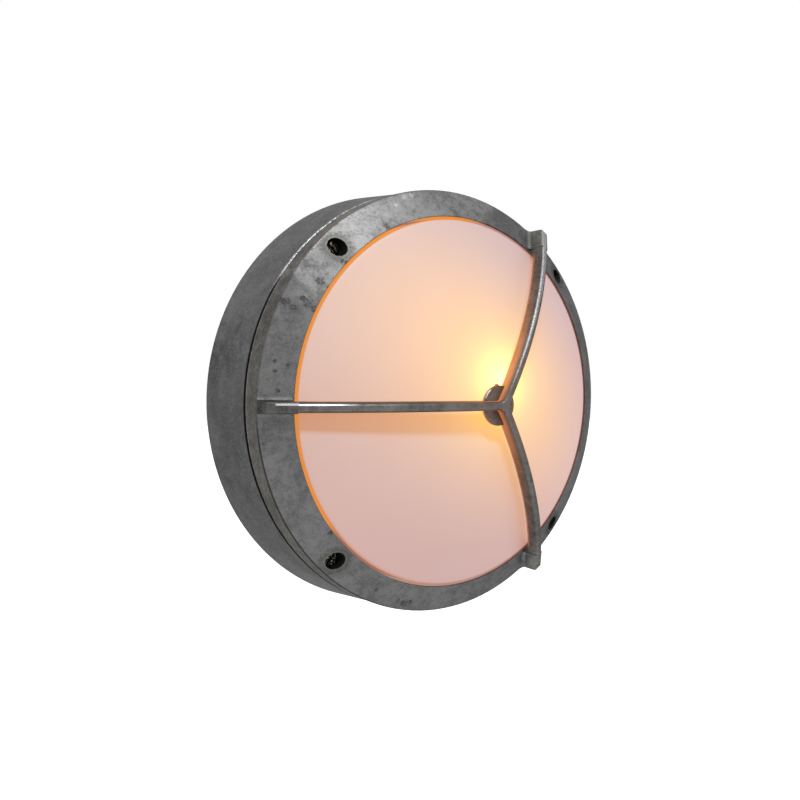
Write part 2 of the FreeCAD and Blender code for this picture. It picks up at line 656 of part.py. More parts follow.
def add_arms(body):
    """The arms: drafted bars swept along an arc, each with a root web and a foot."""
    bar = new_sketch(body, "arm_section", "YZ_Plane", lift="-arm_start")
    front, back = "rib_front_width / 2", "rib_back_width / 2"
    outline(bar, [
        (f"-{back}", "crown_level - rib_depth"),
        (back, "crown_level - rib_depth"),
        (front, "crown_level - rib_round"),
        (f"{front} - rib_round", "crown_level"),
        (f"-({front} - rib_round)", "crown_level"),
        (f"-{front}", "crown_level - rib_round"),
    ], {2: (f"{front} - rib_round", "crown_level - rib_round"),
        4: (f"-({front} - rib_round)", "crown_level - rib_round")})
    path = new_sketch(body, "arm_path", "XZ_Plane")
    end = "foot_start_radius + 2 * foot_step"
    outline(path, [("-arm_start", on_arm_front("arm_start")), (f"-({end})", on_arm_front(end))],
            {0: ("0", "crown_level - rib_arc_radius")}, closed=False)
    arm = feature(body, "AdditivePipe", "arm", bar)
    arm.Spine = (path, ["Edge1"])

    web = new_sketch(body, "root_web", "XZ_Plane")
    reach = "(ring_opening_radius - web_reach)"
    outline(web, [
        ("-(ring_opening_radius + ring_lip_round / 2)", "ring_lip_level - 2 * ring_lip_round"),
        ("-(foot_start_radius + overrun)", "ring_edge_level"),
        ("-(foot_start_radius + overrun)", f"{on_arm_front('ring_opening_radius')} - rib_depth / 2"),
        (f"-{reach}", f"{on_arm_front(reach)} - rib_depth"),
    ])
    root = pad(web, "web_width", both_ways=True)

    foot = new_sketch(body, "arm_foot", "XZ_Plane")
    start = f"({on_arm_front('foot_start_radius')} - foot_step)"
    finish = "(ring_edge_level + foot_end_rise)"
    fall = f"(({start} - {finish}) / (ring_radius - foot_start_radius))"
    outline(foot, [
        ("-foot_start_radius", "ring_edge_level - ring_band / 4"),
        ("-(ring_radius + foot_width)", "ring_edge_level - ring_band / 4"),
        ("-(ring_radius + foot_width)", f"{finish} - {fall} * foot_width"),
        ("-foot_start_radius", start),
    ])
    end_block = pad(foot, "foot_width", both_ways=True)

    hollow = new_sketch(body, "foot_hollow", "YZ_Plane", lift="-(ring_radius + overrun)")
    drop = "(ring_rise / (ring_radius - ring_opening_radius))"
    face = f"(ring_edge_level - overrun * {drop})"
    side = "(foot_width / 2)"
    wide = f"({side} + flare_reach)"
    outline(hollow, [
        (f"-{wide}", f"{face} - overrun"),
        (wide, f"{face} - overrun"),
        (wide, face),
        (side, f"{face} + flare_reach"),
        (f"-{side}", f"{face} + flare_reach"),
        (f"-{wide}", face),
    ], {2: (wide, f"{face} + flare_reach"), 4: (f"-{wide}", f"{face} + flare_reach")})
    slope = new_sketch(body, "hollow_path", "XZ_Plane")
    stop = "(ring_opening_radius + flare_setback)"
    outline(slope, [
        ("-(ring_radius + overrun)", face),
        (f"-{stop}", f"ring_lip_level - flare_setback * {drop}"),
    ], closed=False)
    flare = feature(body, "AdditivePipe", "foot_flare", hollow)
    flare.Spine = (slope, ["Edge1"])
    repeat(body, "arms", [arm, root, end_block, flare], "rib_count")

    beyond_ring = new_sketch(body, "arm_trim", "XZ_Plane")
    rectangle(beyond_ring, "ring_radius", "ring_back_level", "ring_radius + 2 * foot_width", "crown_level")
    turned_away(beyond_ring)
    low = number(finish) - NEARLY
    inside = number("foot_start_radius") - CLOSE

    def on_foot_front(edge):
        """Whether an edge runs along a foot's front, or across its end."""
        if edge.Length < number("foot_width") / 2:
            return False
        if any(math.hypot(point.X, point.Y) < inside or point.Z < low for point in edge.Vertexes):
            return False
        middle = edge.CenterOfMass
        step = 2 * math.pi / number("rib_count")
        away = math.atan2(middle.y, middle.x) - math.pi
        away -= step * round(away / step)
        reach = math.hypot(middle.x, middle.y)
        at_side = abs(abs(reach * math.sin(away)) - number("foot_width") / 2) < CLOSE
        at_end = abs(reach - number("ring_radius")) < NEARLY
        return at_side or at_end

    round_edges(body, "foot_edges", "foot_round", on_foot_front)


def add_ring(body):
    """The ring itself: side band, sloping face, bore and the pocket for the glass."""
    ring = new_sketch(body, "ring_section", "XZ_Plane")
    across = "(ring_radius - ring_opening_radius)"
    along = f"sqrt({across}^2 + ring_rise^2)"
    outline(ring, [
        ("pocket_radius", "ring_back_level"),
        ("ring_back_radius", "ring_back_level"),
        ("ring_radius", "ring_edge_level - ring_edge_round"),
        (f"ring_radius - ring_edge_round * {across} / {along}",
         f"ring_edge_level + ring_edge_round * ring_rise / {along}"),
        (f"ring_opening_radius + ring_lip_round * {across} / {along}",
         f"ring_lip_level - ring_lip_round * ring_rise / {along}"),
        ("ring_opening_radius", "ring_lip_level - ring_lip_round"),
        ("ring_opening_radius", "pocket_top_level"),
        ("pocket_radius", "pocket_top_level"),
    ], {2: (f"ring_radius - ring_edge_round * ({along} + ring_rise) / {across}",
            "ring_edge_level - ring_edge_round"),
        4: (f"ring_opening_radius + ring_lip_round * ({along} - ring_rise) / {across}",
            "ring_lip_level - ring_lip_round")})
    turned(ring)


def add_ring_holes(body):
    """Recessed holes for the cover screws and tapped holes for the clips."""
    place = around("screw_circle", "screw_angle - ring_turn")
    shank = new_sketch(body, "cover_screw_hole", "XY_Plane", lift="ring_back_level")
    circles(shank, [place], "screw_shank_radius + hole_clearance")
    through = cut(shank, "counterbore_floor", towards_front=True)
    repeat(body, "cover_screw_holes", [through], "screw_count")
    recess = new_sketch(body, "cover_screw_recess", "XY_Plane", lift="counterbore_level")
    bored = cut(circles(recess, [place], "counterbore_radius"), "ring_rise + ring_band", True)
    repeat(body, "cover_screw_recesses", [bored], "screw_count")
    clip = new_sketch(body, "clip_screw_hole", "XY_Plane", lift="ring_back_level")
    circles(clip, [around("clip_screw_circle", "clip_angle - ring_turn")],
            "small_screw_radius + thread_clearance")
    tapped = cut(clip, "clip_screw_bite + hole_spare", towards_front=True)
    repeat(body, "clip_screw_holes", [tapped], "clip_count")


# Glass and seals


def glass_dome():
    """The opal glass: a flange, a short side wall and a shallow dome."""
    body = new_body("glass_dome")
    section = new_sketch(body, "glass_section", "XZ_Plane")
    inside = "(glass_side_radius - glass_wall)"
    side_top = f"({on_dome('glass_side_radius')} - glass_corner)"
    dome_foot = "sqrt(glass_dome_radius^2 - glass_side_radius^2)"
    shoulder = f"(glass_side_radius - glass_corner * {dome_foot} / glass_dome_radius)"
    corner = f"glass_corner * (glass_dome_radius + glass_side_radius) / {dome_foot}"
    centre = "(glass_top_level - glass_dome_radius)"
    inner_edge = f"({centre} + sqrt((glass_dome_radius - glass_wall)^2 - {inside}^2))"
    outline(section, [
        (inside, "ring_back_level"),
        ("flange_radius", "ring_back_level"),
        ("flange_radius", "flange_front_level"),
        ("glass_side_radius", "flange_front_level"),
        ("glass_side_radius", side_top),
        (shoulder, on_dome(shoulder)),
        ("0", "glass_top_level"),
        ("0", "glass_top_level - glass_wall"),
        (inside, inner_edge),
    ], {4: (f"glass_side_radius - {corner}", side_top),
        5: ("0", centre),
        7: ("0", centre)})
    turned(section)
    return on_wall(body)


def flat_ring(label, inner, outer, back, front):
    """A flat ring about the axis between two levels."""
    body = new_body(label)
    section = new_sketch(body, f"{label}_section", "XZ_Plane")
    rectangle(section, inner, back, outer, front)
    turned(section)
    return on_wall(body)


def glass_seal():
    """The rubber ring between the glass flange and the guard ring."""
    return flat_ring("glass_seal", "glass_side_radius + seal_play", "flange_radius",
                     "flange_front_level", "pocket_top_level")


def rim_gasket():
    """The rubber gasket between the bowl and the guard ring."""
    return flat_ring("rim_gasket", "gasket_inner_radius", "gasket_outer_radius",
                     "base_depth", "ring_back_level")


def glass_clips():
    """Three flat clips that hold the glass flange from behind."""
    body = new_body("glass_clips")
    blank = new_sketch(body, "clip_blank", "XY_Plane", lift="ring_back_level - clip_thickness")
    half = "clip_width / 2"
    outline(blank, [
        ("clip_inner_radius", f"-{half} + clip_corner"),
        ("clip_inner_radius + clip_corner", f"-{half}"),
        ("clip_outer_radius - clip_corner", f"-{half}"),
        ("clip_outer_radius", f"-{half} + clip_corner"),
        ("clip_outer_radius", f"{half} - clip_corner"),
        ("clip_outer_radius - clip_corner", half),
        ("clip_inner_radius + clip_corner", half),
        ("clip_inner_radius", f"{half} - clip_corner"),
    ])
    plate = pad(blank, "clip_thickness")
    hole = new_sketch(body, "clip_hole", "XY_Plane")
    bored = cut(circles(hole, [("clip_screw_circle", "0")], "small_screw_radius + hole_clearance"))
    repeat(body, "clip_set", [plate, bored], "clip_count")
    return on_wall(body, turn="clip_angle")


# Screws of the ring and the clips


def cover_screws():
    """The screws that hold the guard ring on the bowl."""
    body = new_body("cover_screws")
    parts = add_slotted_screw(body, "screw_circle", "0", "counterbore_level",
                              ("screw_head_radius", "screw_head_height"),
                              ("screw_shank_radius", "counterbore_level - base_depth + screw_bite"))
    repeat(body, "screw_set", parts, "screw_count")
    return on_wall(body, turn="screw_angle")


def clip_screws():
    """The screws that hold the glass clips on the back of the ring."""
    body = new_body("clip_screws")
    parts = add_slotted_screw(body, "clip_screw_circle", "0", "(ring_back_level - clip_thickness)",
                              SMALL_HEAD, ("small_screw_radius", "clip_thickness + clip_screw_bite"),
                              facing="-")
    repeat(body, "screw_set", parts, "clip_count")
    return on_wall(body, turn="clip_angle")


def floor_screws(label, places, stack):
    """Screws through a stack of this height into the small bosses of the bowl."""
    body = new_body(label)
    for right, up in places:
        add_slotted_screw(body, right, up, f"(floor_seat_level + {stack})",
                          ("floor_head_radius", "floor_head_height"),
                          ("floor_screw_radius", f"{stack} + floor_screw_bite"))
    return on_wall(body)


# Lamp holder, bracket and lamp


def holder_bracket():
    """The bent steel bracket that carries the lamp holder."""
    body = new_body("holder_bracket")
    side = new_sketch(body, "bracket_side", "YZ_Plane", lift="lamp_right")
    outer_bend = "(bracket_bend + bracket_thickness)"
    end = "lamp_out + bracket_overhang"
    low = "(-lamp_low - bracket_foot)"
    bend = (f"-lamp_low - {outer_bend}", f"floor_seat_level + {outer_bend}")
    outline(side, [
        (low, "floor_seat_level"),
        (f"-lamp_low - {outer_bend}", "floor_seat_level"),
        ("-lamp_low", f"floor_seat_level + {outer_bend}"),
        ("-lamp_low", end),
        ("-lamp_low - bracket_thickness", end),
        ("-lamp_low - bracket_thickness", f"floor_seat_level + {outer_bend}"),
        (f"-lamp_low - {outer_bend}", "floor_seat_level + bracket_thickness"),
        (low, "floor_seat_level + bracket_thickness"),
    ], {1: bend, 5: bend})
    pad(side, "bracket_width", both_ways=True)
    foot_holes = new_sketch(body, "bracket_foot_holes", "XY_Plane")
    cut(circles(foot_holes, bracket_screw_places(), "floor_screw_radius + hole_clearance"))
    arm_holes = new_sketch(body, "bracket_arm_holes", "XZ_Plane")
    places = [(f"lamp_right {sign} fixing_offset", "lamp_out") for sign in "-+"]
    cut(circles(arm_holes, places, "small_screw_radius + hole_clearance"))
    window = new_sketch(body, "bracket_window_outline", "XZ_Plane")
    cut(circles(window, [("lamp_right", "lamp_out")], "bracket_window"))
    return on_wall(body)


def holder_body():
    """The porcelain body of the lamp holder, standing on the bracket."""
    body = new_body("holder_body")
    section = new_sketch(body, "holder_section", "XZ_Plane")
    outline(section, [
        ("0", "0"),
        ("holder_foot_radius", "0"),
        ("holder_foot_radius", "holder_foot_height"),
        ("holder_radius", "holder_foot_height + holder_foot_radius - holder_radius"),
        ("holder_radius", "holder_length"),
        ("holder_bore_radius", "holder_length"),
        ("holder_bore_radius", "holder_bore_floor"),
        ("0", "holder_bore_floor"),
    ])
    turned(section)
    for name, sign in (("left", "-"), ("right", "")):
        notch = new_sketch(body, f"notch_{name}", "XZ_Plane")
        rectangle(notch, f"{sign}notch_floor", "notch_low",
                  f"{sign}(holder_foot_radius + overrun)", "notch_high")
        cut(notch)
        tapped = new_sketch(body, f"terminal_{name}", "YZ_Plane", lift=f"{sign}notch_floor")
        circles(tapped, [("0", "terminal_height")], "small_screw_radius + thread_clearance")
        cut(tapped, "terminal_bite + hole_spare", towards_front=sign == "-")
    fixing = new_sketch(body, "fixing_holes", "XY_Plane")
    circles(fixing, [("-fixing_offset", "0"), ("fixing_offset", "0")],
            "small_screw_radius + thread_clearance")
    cut(fixing, "fixing_bite + hole_spare", towards_front=True)
    return on_lamp_axis(body)


def holder_shell():
    """The sleeve in the holder's bore that the lamp cap screws into."""
    body = new_body("holder_shell")
    wall = new_sketch(body, "shell_section", "XZ_Plane")
    outer = "(holder_bore_radius - shell_play)"
    top = "(holder_length - shell_drop)"
    rectangle(wall, f"{outer} - shell_thickness", f"{top} - shell_length", outer, top)
    turned(wall)
    return on_lamp_axis(body)


def holder_centre_contact():
    """The sprung contact on the floor of the holder's bore."""
    body = new_body("holder_centre_contact")
    section = new_sketch(body, "contact_section", "XZ_Plane")
    outline(section, [
        ("0", "holder_bore_floor"),
        ("contact_radius", "holder_bore_floor"),
        ("contact_radius", "holder_bore_floor + contact_height / 4"),
        ("contact_radius / 2", "holder_bore_floor + contact_height"),
        ("0", "holder_bore_floor + contact_height"),
    ])
    turned(section)
    return on_lamp_axis(body)


def holder_terminal_screws():
    """The two screws at the sides of the holder that clamp the leads."""
    body = new_body("holder_terminal_screws")
    reach = "(notch_floor + 2 * lead_radius + 2 * lead_play)"
    for facing, sign in (("+", ""), ("-", "-")):
        add_slotted_screw(body, "-terminal_height", "0", f"{sign}{reach}", SMALL_HEAD,
                          ("small_screw_radius", f"{reach} - notch_floor + terminal_bite"), facing)
    on_lamp_axis(body)
    body.Placement.Rotation = FreeCAD.Rotation(FreeCAD.Vector(0, 1, 0), 90)
    return body


def holder_fixing_screws():
    """The two screws that hold the lamp holder on its bracket from below."""
    body = new_body("holder_fixing_screws")
    for right in ("-fixing_offset", "fixing_offset"):
        add_slotted_screw(body, right, "0", "(-bracket_thickness)", SMALL_HEAD,
                          ("small_screw_radius", "bracket_thickness + fixing_bite"), facing="-")
    return on_lamp_axis(body)


def light_bulb():
    """The lamp: a screw cap and a frosted envelope, sealed and solid here."""
    body = new_body("light_bulb")
    section = new_sketch(body, "bulb_section", "XZ_Plane")
    meets = "(bulb_radius * cos(bulb_slope))"
    low = "(bulb_centre - bulb_radius * sin(bulb_slope))"
    neck_top = f"({low} - ({meets} - bulb_neck_radius) / tan(bulb_slope))"
    cone_top = "(tip_height + cap_cone)"
    outline(section, [
        ("0", "0"),
        ("tip_radius", "0"),
        ("tip_radius", "tip_height"),
        ("cap_radius * cap_cone_share", cone_top),
        ("cap_radius", f"{cone_top} + cap_radius * (1 - cap_cone_share)"),
        ("cap_radius", "cap_length"),
        ("bulb_neck_radius", "cap_length"),
        ("bulb_neck_radius", neck_top),
        (meets, low),
        ("0", "bulb_centre + bulb_radius"),
    ], {8: ("0", "bulb_centre")})
    turned(section)
    return on_lamp_axis(body, level="tip_level")


# Terminal block, leads and earth


def pole_places(up):
    """A place on each of the three poles of the terminal block."""
    return [(f"block_right + {pole} * block_pitch", up) for pole in (-1, 0, 1)]


def terminal_block_body():
    """The three-pole terminal block that stands on two of the bowl's bosses."""
    body = new_body("terminal_block_body")
    cells = "(1.5 * block_pitch)"
    seat = {"right": "block_right", "up": "block_up", "lift": "floor_seat_level"}
    lugs = new_sketch(body, "block_lugs", "XY_Plane", **seat)
    rectangle(lugs, f"-{cells} - block_lug", "-block_lug / 2", f"{cells} + block_lug", "block_lug / 2")
    pad(lugs, "block_lug_height")
    block = new_sketch(body, "block_cells", "XY_Plane", **seat)
    rectangle(block, f"-{cells}", "-block_depth / 2", cells, "block_depth / 2")
    pad(block, "block_height")
    for name, side in (("left", "-"), ("right", "")):
        groove = new_sketch(body, f"groove_{name}", "XY_Plane", up="block_up",
                            right=f"block_right + {side}block_pitch / 2",
                            lift="floor_seat_level + block_height")
        rectangle(groove, "-block_groove / 2", "-block_depth", "block_groove / 2", "block_depth")
        cut(groove, "block_groove_depth")
    bores = new_sketch(body, "sleeve_holes", "XZ_Plane")
    cut(circles(bores, pole_places("sleeve_level"), "sleeve_radius + sleeve_play"))
    access = new_sketch(body, "clamp_holes", "XY_Plane", lift="floor_seat_level + block_height")
    circles(access, clamp_screw_places(), "clamp_screw_radius + thread_clearance")
    cut(access, "block_height - sleeve_height")
    lug_holes = new_sketch(body, "lug_holes", "XY_Plane")
    cut(circles(lug_holes, block_screw_places(), "floor_screw_radius + hole_clearance"))
    return on_wall(body)


def clamp_screw_places():
    """Two clamp screws on each pole."""
    ends = [f"block_up {sign} clamp_screw_offset" for sign in "-+"]
    return [place for up in ends for place in pole_places(up)]


def terminal_sleeves():
    """The brass sleeves inside the terminal block."""
    body = new_body("terminal_sleeves")
    outer = new_sketch(body, "sleeve_outside", "XZ_Plane", lift="-block_up")
    pad(circles(outer, pole_places("sleeve_level"), "sleeve_radius"), "sleeve_length", both_ways=True)
    inner = new_sketch(body, "sleeve_inside", "XZ_Plane")
    cut(circles(inner, pole_places("sleeve_level"), "sleeve_bore_radius"))
    tapped = new_sketch(body, "sleeve_tapping", "XY_Plane", lift="sleeve_level + 2 * sleeve_radius")
    circles(tapped, clamp_screw_places(), "clamp_screw_radius + thread_clearance")
    cut(tapped, "2 * sleeve_radius")
    return on_wall(body)


def terminal_screws():
    """The headless screws that clamp the wires in the sleeves."""
    body = new_body("terminal_screws")
    foot = "(sleeve_level + lead_radius + lead_play)"
    rods = new_sketch(body, "clamp_rods", "XY_Plane", lift=foot)
    pad(circles(rods, clamp_screw_places(), "clamp_screw_radius"), "clamp_screw_length")
    for index, (right, up) in enumerate(clamp_screw_places()):
        slot = new_sketch(body, f"clamp_slot_{index}", "XY_Plane", right=right, up=up,
                          lift=f"{foot} + clamp_screw_length")
        rectangle(slot, "-2 * clamp_screw_radius", "-clamp_screw_radius / 4",
                  "2 * clamp_screw_radius", "clamp_screw_radius / 4")
        cut(slot, "clamp_screw_radius / 2")
    return on_wall(body)


def earth_lug():
    """The crimped lug at the end of the earth lead."""
    body = new_body("earth_lug")
    eye = new_sketch(body, "lug_eye", "XY_Plane", lift="floor_seat_level")
    pad(circles(eye, [("earth_right", "earth_up")], "lug_radius"), "lug_thickness")
    tail = new_sketch(body, "lug_tail", "XY_Plane", right="earth_right", up="earth_up",
                      lift="floor_seat_level")
    rectangle(tail, "0", "-lug_radius / 2", "barrel_start + barrel_wall", "lug_radius / 2")
    pad(tail, "lug_thickness")
    outer = new_sketch(body, "barrel_outside", "YZ_Plane", lift="earth_right + barrel_start")
    pad(circles(outer, [("earth_up", "barrel_level")], "barrel_bore + barrel_wall"), "barrel_length")
    inner = new_sketch(body, "barrel_inside", "YZ_Plane", lift="earth_right + barrel_start + barrel_wall")
    circles(inner, [("earth_up", "barrel_level")], "barrel_bore")
    cut(inner, "barrel_length", towards_front=True)
    hole = new_sketch(body, "lug_hole", "XY_Plane")
    cut(circles(hole, [("earth_right", "earth_up")], "floor_screw_radius + hole_clearance"))
    return on_wall(body)


def earth_washer():
    """The spring washer under the earth screw's head."""
    body = new_body("earth_washer")
    section = new_sketch(body, "washer_section", "XZ_Plane", right="earth_right", lift="-earth_up")
    rectangle(section, "floor_screw_radius + hole_clearance", "floor_seat_level + lug_thickness",
              "washer_radius", "floor_seat_level + lug_thickness + washer_thickness")
    turned(section)
    return on_wall(body)


def cable_grommet():
    """The rubber grommet in the bowl's back that the supply cable comes through."""
    body = new_body("cable_grommet")
    section = new_sketch(body, "grommet_section", "XZ_Plane", right="entry_right", lift="-entry_up")
    neck = "entry_radius - grommet_play"
    front = "(base_floor + grommet_flange)"
    outline(section, [
        ("grommet_bore_radius", "entry_recess - grommet_flange"),
        ("grommet_flange_radius", "entry_recess - grommet_flange"),
        ("grommet_flange_radius", "entry_recess"),
        (neck, "entry_recess"),
        (neck, "base_floor"),
        ("grommet_flange_radius", "base_floor"),
        ("grommet_flange_radius", front),
        ("grommet_nose_radius + grommet_nose_taper", front),
        ("grommet_nose_radius", f"{front} + grommet_nose"),
        ("grommet_bore_radius", f"{front} + grommet_nose"),
    ])
    turned(section)
    return on_wall(body)


def lead(label, route):
    """A round lead along straight runs joined by tangent arcs."""
    share = 0.45
    points = [FreeCAD.Vector(number(right), -number(out), number(up)) for right, up, out in route]
    edges = []
    start = points[0]
    for before, corner, after in zip(points, points[1:], points[2:]):
        inward, outward = before - corner, after - corner
        half_turn = (math.pi - inward.getAngle(outward)) / 2
        setback = share * min(inward.Length, outward.Length)
        radius = setback / math.tan(half_turn)
        inward.normalize()
        outward.normalize()
        first = corner + inward * setback
        last = corner + outward * setback
        to_centre = inward + outward
        to_centre.normalize()
        centre = corner + to_centre * math.hypot(radius, setback)
        middle = centre - to_centre * radius
        edges.append(Part.LineSegment(start, first).toShape())
        edges.append(Part.Arc(first, middle, last).toShape())
        start = last
        print(f"{label}: bend radius {radius:.1f}")
    edges.append(Part.LineSegment(start, points[-1]).toShape())
    path = Part.Wire(edges)
    heading = points[1] - points[0]
    section = Part.Wire([Part.makeCircle(number("lead_radius"), points[0], heading)])
    tube = path.makePipeShell([section], True, False)
    expected = math.pi * number("lead_radius") ** 2 * path.Length
    if abs(tube.Volume / expected - 1) > 0.01:
        raise RuntimeError(f"{label} has the wrong volume")
    made = doc.addObject("Part::Feature", label)
    made.Label = label
    made.Shape = tube
    made.Placement = FreeCAD.Placement()
    return made


def block_exit(pole):
    """Where a lead starts inside the sleeve of a pole, and a place below the block."""
    right = f"block_right + {pole} * block_pitch"
    inside = "block_up - sleeve_length / 2 + lead_insert"
    below = "block_up - block_depth / 2"
    return right, inside, below


def live_lead():
    """From the right-hand pole to the left-hand terminal of the holder."""
    right, inside, below = block_exit(1)
    end_right = "lamp_right - lead_reach"
    return lead("live_lead", [
        (right, inside, "sleeve_level"),
        (right, f"{below} - 18", "sleeve_level"),
        (f"{right} + 16", "lead_up", "sleeve_level + 2"),
        (end_right, "lead_up", "sleeve_level + 6"),
        (end_right, "lead_up", "lamp_out + small_head_radius"),
    ])


def neutral_lead():
    """From the middle pole, behind the holder, to its right-hand terminal."""
    right, inside, below = block_exit(0)
    end_right = "lamp_right + lead_reach"
    low = "floor_seat_level + lead_radius"
    return lead("neutral_lead", [
        (right, inside, "sleeve_level"),
        (right, f"{below} - 14", "sleeve_level - 1"),
        (f"{right} + 14", "lead_up + 1", low),
        (f"{right} + 48", "lead_up + 2", f"{low} - 1"),
        (end_right, "lead_up", f"{low} + 1"),
        (end_right, "lead_up", "lamp_out + small_head_radius"),
    ])


def earth_lead():
    """From the left-hand pole to the crimped lug."""
    right, inside, below = block_exit(-1)
    return lead("earth_lead", [
        (right, inside, "sleeve_level"),
        (right, f"{below} - 7", "sleeve_level"),
        (right, "earth_up", "barrel_level"),
        ("earth_right + barrel_start + 2 * barrel_wall", "earth_up", "barrel_level"),
    ])


SUB_PARTS = [
    base_housing(),
    guard_ring(),
    glass_dome(),
    glass_seal(),
    rim_gasket(),
    glass_clips(),
    clip_screws(),
    cover_screws(),
    holder_bracket(),
    floor_screws("bracket_screws", bracket_screw_places(), "bracket_thickness"),
    holder_body(),
    holder_shell(),
    holder_centre_contact(),
    holder_terminal_screws(),
    holder_fixing_screws(),
    light_bulb(),
    terminal_block_body(),
    terminal_sleeves(),
    terminal_screws(),
    floor_screws("block_screws", block_screw_places(), "block_lug_height"),
    earth_lug(),
    earth_washer(),
    floor_screws("earth_screw", [("earth_right", "earth_up")], "(lug_thickness + washer_thickness)"),
    cable_grommet(),
    live_lead(),
    neutral_lead(),
    earth_lead(),
]

doc.recompute()

for item in doc.Objects:
    if "Invalid" in item.State or "Error" in item.State:
        raise RuntimeError(f"{item.Name} did not build: {item.State}")
for item in SUB_PARTS:
    if item.Shape.isNull() or not item.Shape.isValid() or item.Shape.Volume <= 0:
        raise RuntimeError(f"{item.Label} has no sound solid")
for item in SUB_PARTS:
    item.Shape.exportStep(f"parts/{item.Label}.step")
    print(f"{item.Label}: {len(item.Shape.Solids)} solid(s), {item.Shape.Volume / 1000:.1f} cm3")
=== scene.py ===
# %% [markdown]
# # An outdoor wall light, dressed for its portrait
#
# The light is a round bulkhead: a cast aluminium bowl on the wall, a cast guard ring with three
# arms in front of it, and an opal glass dome that glows from the lamp behind it. The CAD model
# gives every part its place and size. This script gives them their finishes, swaps the parts
# whose surface needs more than the CAD mesh has, and sets up the studio.

import json
import math

import bmesh
import bpy
import numpy as np
from mathutils import Matrix, Vector


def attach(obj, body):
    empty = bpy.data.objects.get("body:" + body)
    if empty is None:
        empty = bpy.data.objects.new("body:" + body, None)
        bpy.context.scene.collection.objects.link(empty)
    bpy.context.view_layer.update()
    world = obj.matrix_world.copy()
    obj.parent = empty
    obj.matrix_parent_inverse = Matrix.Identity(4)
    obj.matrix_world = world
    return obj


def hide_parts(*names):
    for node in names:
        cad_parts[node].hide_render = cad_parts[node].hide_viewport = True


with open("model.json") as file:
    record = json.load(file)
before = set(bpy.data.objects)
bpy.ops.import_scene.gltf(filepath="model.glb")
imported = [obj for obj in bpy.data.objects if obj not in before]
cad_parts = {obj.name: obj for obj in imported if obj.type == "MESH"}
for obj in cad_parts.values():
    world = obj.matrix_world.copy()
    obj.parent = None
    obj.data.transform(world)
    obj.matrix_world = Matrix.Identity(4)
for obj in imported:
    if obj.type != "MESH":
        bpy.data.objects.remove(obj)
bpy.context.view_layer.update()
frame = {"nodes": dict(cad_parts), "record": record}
nodes = frame["nodes"]
scene = bpy.context.scene
MM = 0.001

# %% [markdown]
# ## Camera
#
# A camera is a place, a direction and a lens. The photograph is taken from the left and a touch
# above, from less than half a metre. The direction is written as an azimuth and an elevation,
# because that is how a photographer walks round an object, and the camera's three axes are
# worked out from them. The object sits right of the picture's middle, which is the lens shift.

# %% The camera
AZIMUTH, ELEVATION, ROLL = np.radians([-38.62, 2.52, 0.77])
TARGET = np.array([0, -57.3, 0]) * MM
DISTANCE = 445.5 * MM

backward = np.array([
    math.sin(AZIMUTH) * math.cos(ELEVATION),
    -math.cos(AZIMUTH) * math.cos(ELEVATION),
    math.sin(ELEVATION),
])
level_right = np.array([math.cos(AZIMUTH), math.sin(AZIMUTH), 0])
level_up = np.cross(backward, level_right)
right = math.cos(ROLL) * level_right + math.sin(ROLL) * level_up
up = np.cross(backward, right)

lens = bpy.data.cameras.new("camera")
lens.lens = 31.96
lens.sensor_width = 36
lens.shift_x = -0.0676
lens.shift_y = 0.0031
lens.clip_start = 0.01
camera = bpy.data.objects.new("camera", lens)
camera.matrix_world = Matrix.Translation(TARGET + backward * DISTANCE) @ Matrix(
    np.array([right, up, backward]).T.tolist()
).to_4x4()
scene.collection.objects.link(camera)
scene.camera = camera
print("the camera stands at", [round(v, 3) for v in camera.matrix_world.translation])

# %% [markdown]
# ## Shader maths as plain expressions
#
# A material's pattern is a chain of nodes. Wiring them by hand hides the idea, so one small class
# wraps an output socket: + - * / on it add Math nodes, and `node` adds any other kind. Settings
# are put in first, because a node may change its sockets with them.

# %% Expressions on sockets
class Wire:
    """An output socket that can stand in an expression."""

    def __init__(self, tree, socket=None):
        self.tree = tree
        self.socket = socket

    def node(self, kind, settings=None, values=None, out=0):
        """A new node: its settings first, then the values or wires of its sockets."""
        made = self.tree.nodes.new(kind)
        for name, value in (settings or {}).items():
            setattr(made, name, value)
        for name, value in (values or {}).items():
            if isinstance(value, Wire):
                self.tree.links.new(value.socket, made.inputs[name])
            else:
                made.inputs[name].default_value = value
        return Wire(self.tree, made.outputs[out])

    def maths(self, operation, *values):
        """A Math node with these values or wires."""
        return self.node("ShaderNodeMath", {"operation": operation}, dict(enumerate(values)))

    def __add__(self, other):
        return self.maths("ADD", self, other)

    def __sub__(self, other):
        return self.maths("SUBTRACT", self, other)

    def __mul__(self, other):
        return self.maths("MULTIPLY", self, other)

    def __truediv__(self, other):
        return self.maths("DIVIDE", self, other)

    def __rsub__(self, other):
        return self.maths("SUBTRACT", other, self)

    __radd__ = __add__
    __rmul__ = __mul__


def largest(first, second):
    """The larger of the two, which joins two masks."""
    return first.maths("MAXIMUM", first, second)


def absolute(wire):
    """The value without its sign, which makes left and right alike."""
    return wire.maths("ABSOLUTE", wire)


def root(wire):
    """The square root."""
    return wire.maths("SQRT", wire)


def exponent(wire):
    """e to the power of the value: below 0 it falls off as light does in haze."""
    return wire.maths("EXPONENT", wire)


def rise(wire, low, high):
    """0 below low, 1 above high, and a soft S between them; it falls where low is above high."""
    if low > high:
        return 1 - rise(wire, high, low)
    settings = {"interpolation_type": "SMOOTHSTEP"}
    values = {"Value": wire, "From Min": low, "From Max": high}
    return wire.node("ShaderNodeMapRange", settings, values)


def blend(share, first, second):
    """The first colour where share is 0 and the second where it is 1."""
    values = {0: share, 6: first, 7: second}
    return share.node("ShaderNodeMix", {"data_type": "RGBA"}, values, out=2)


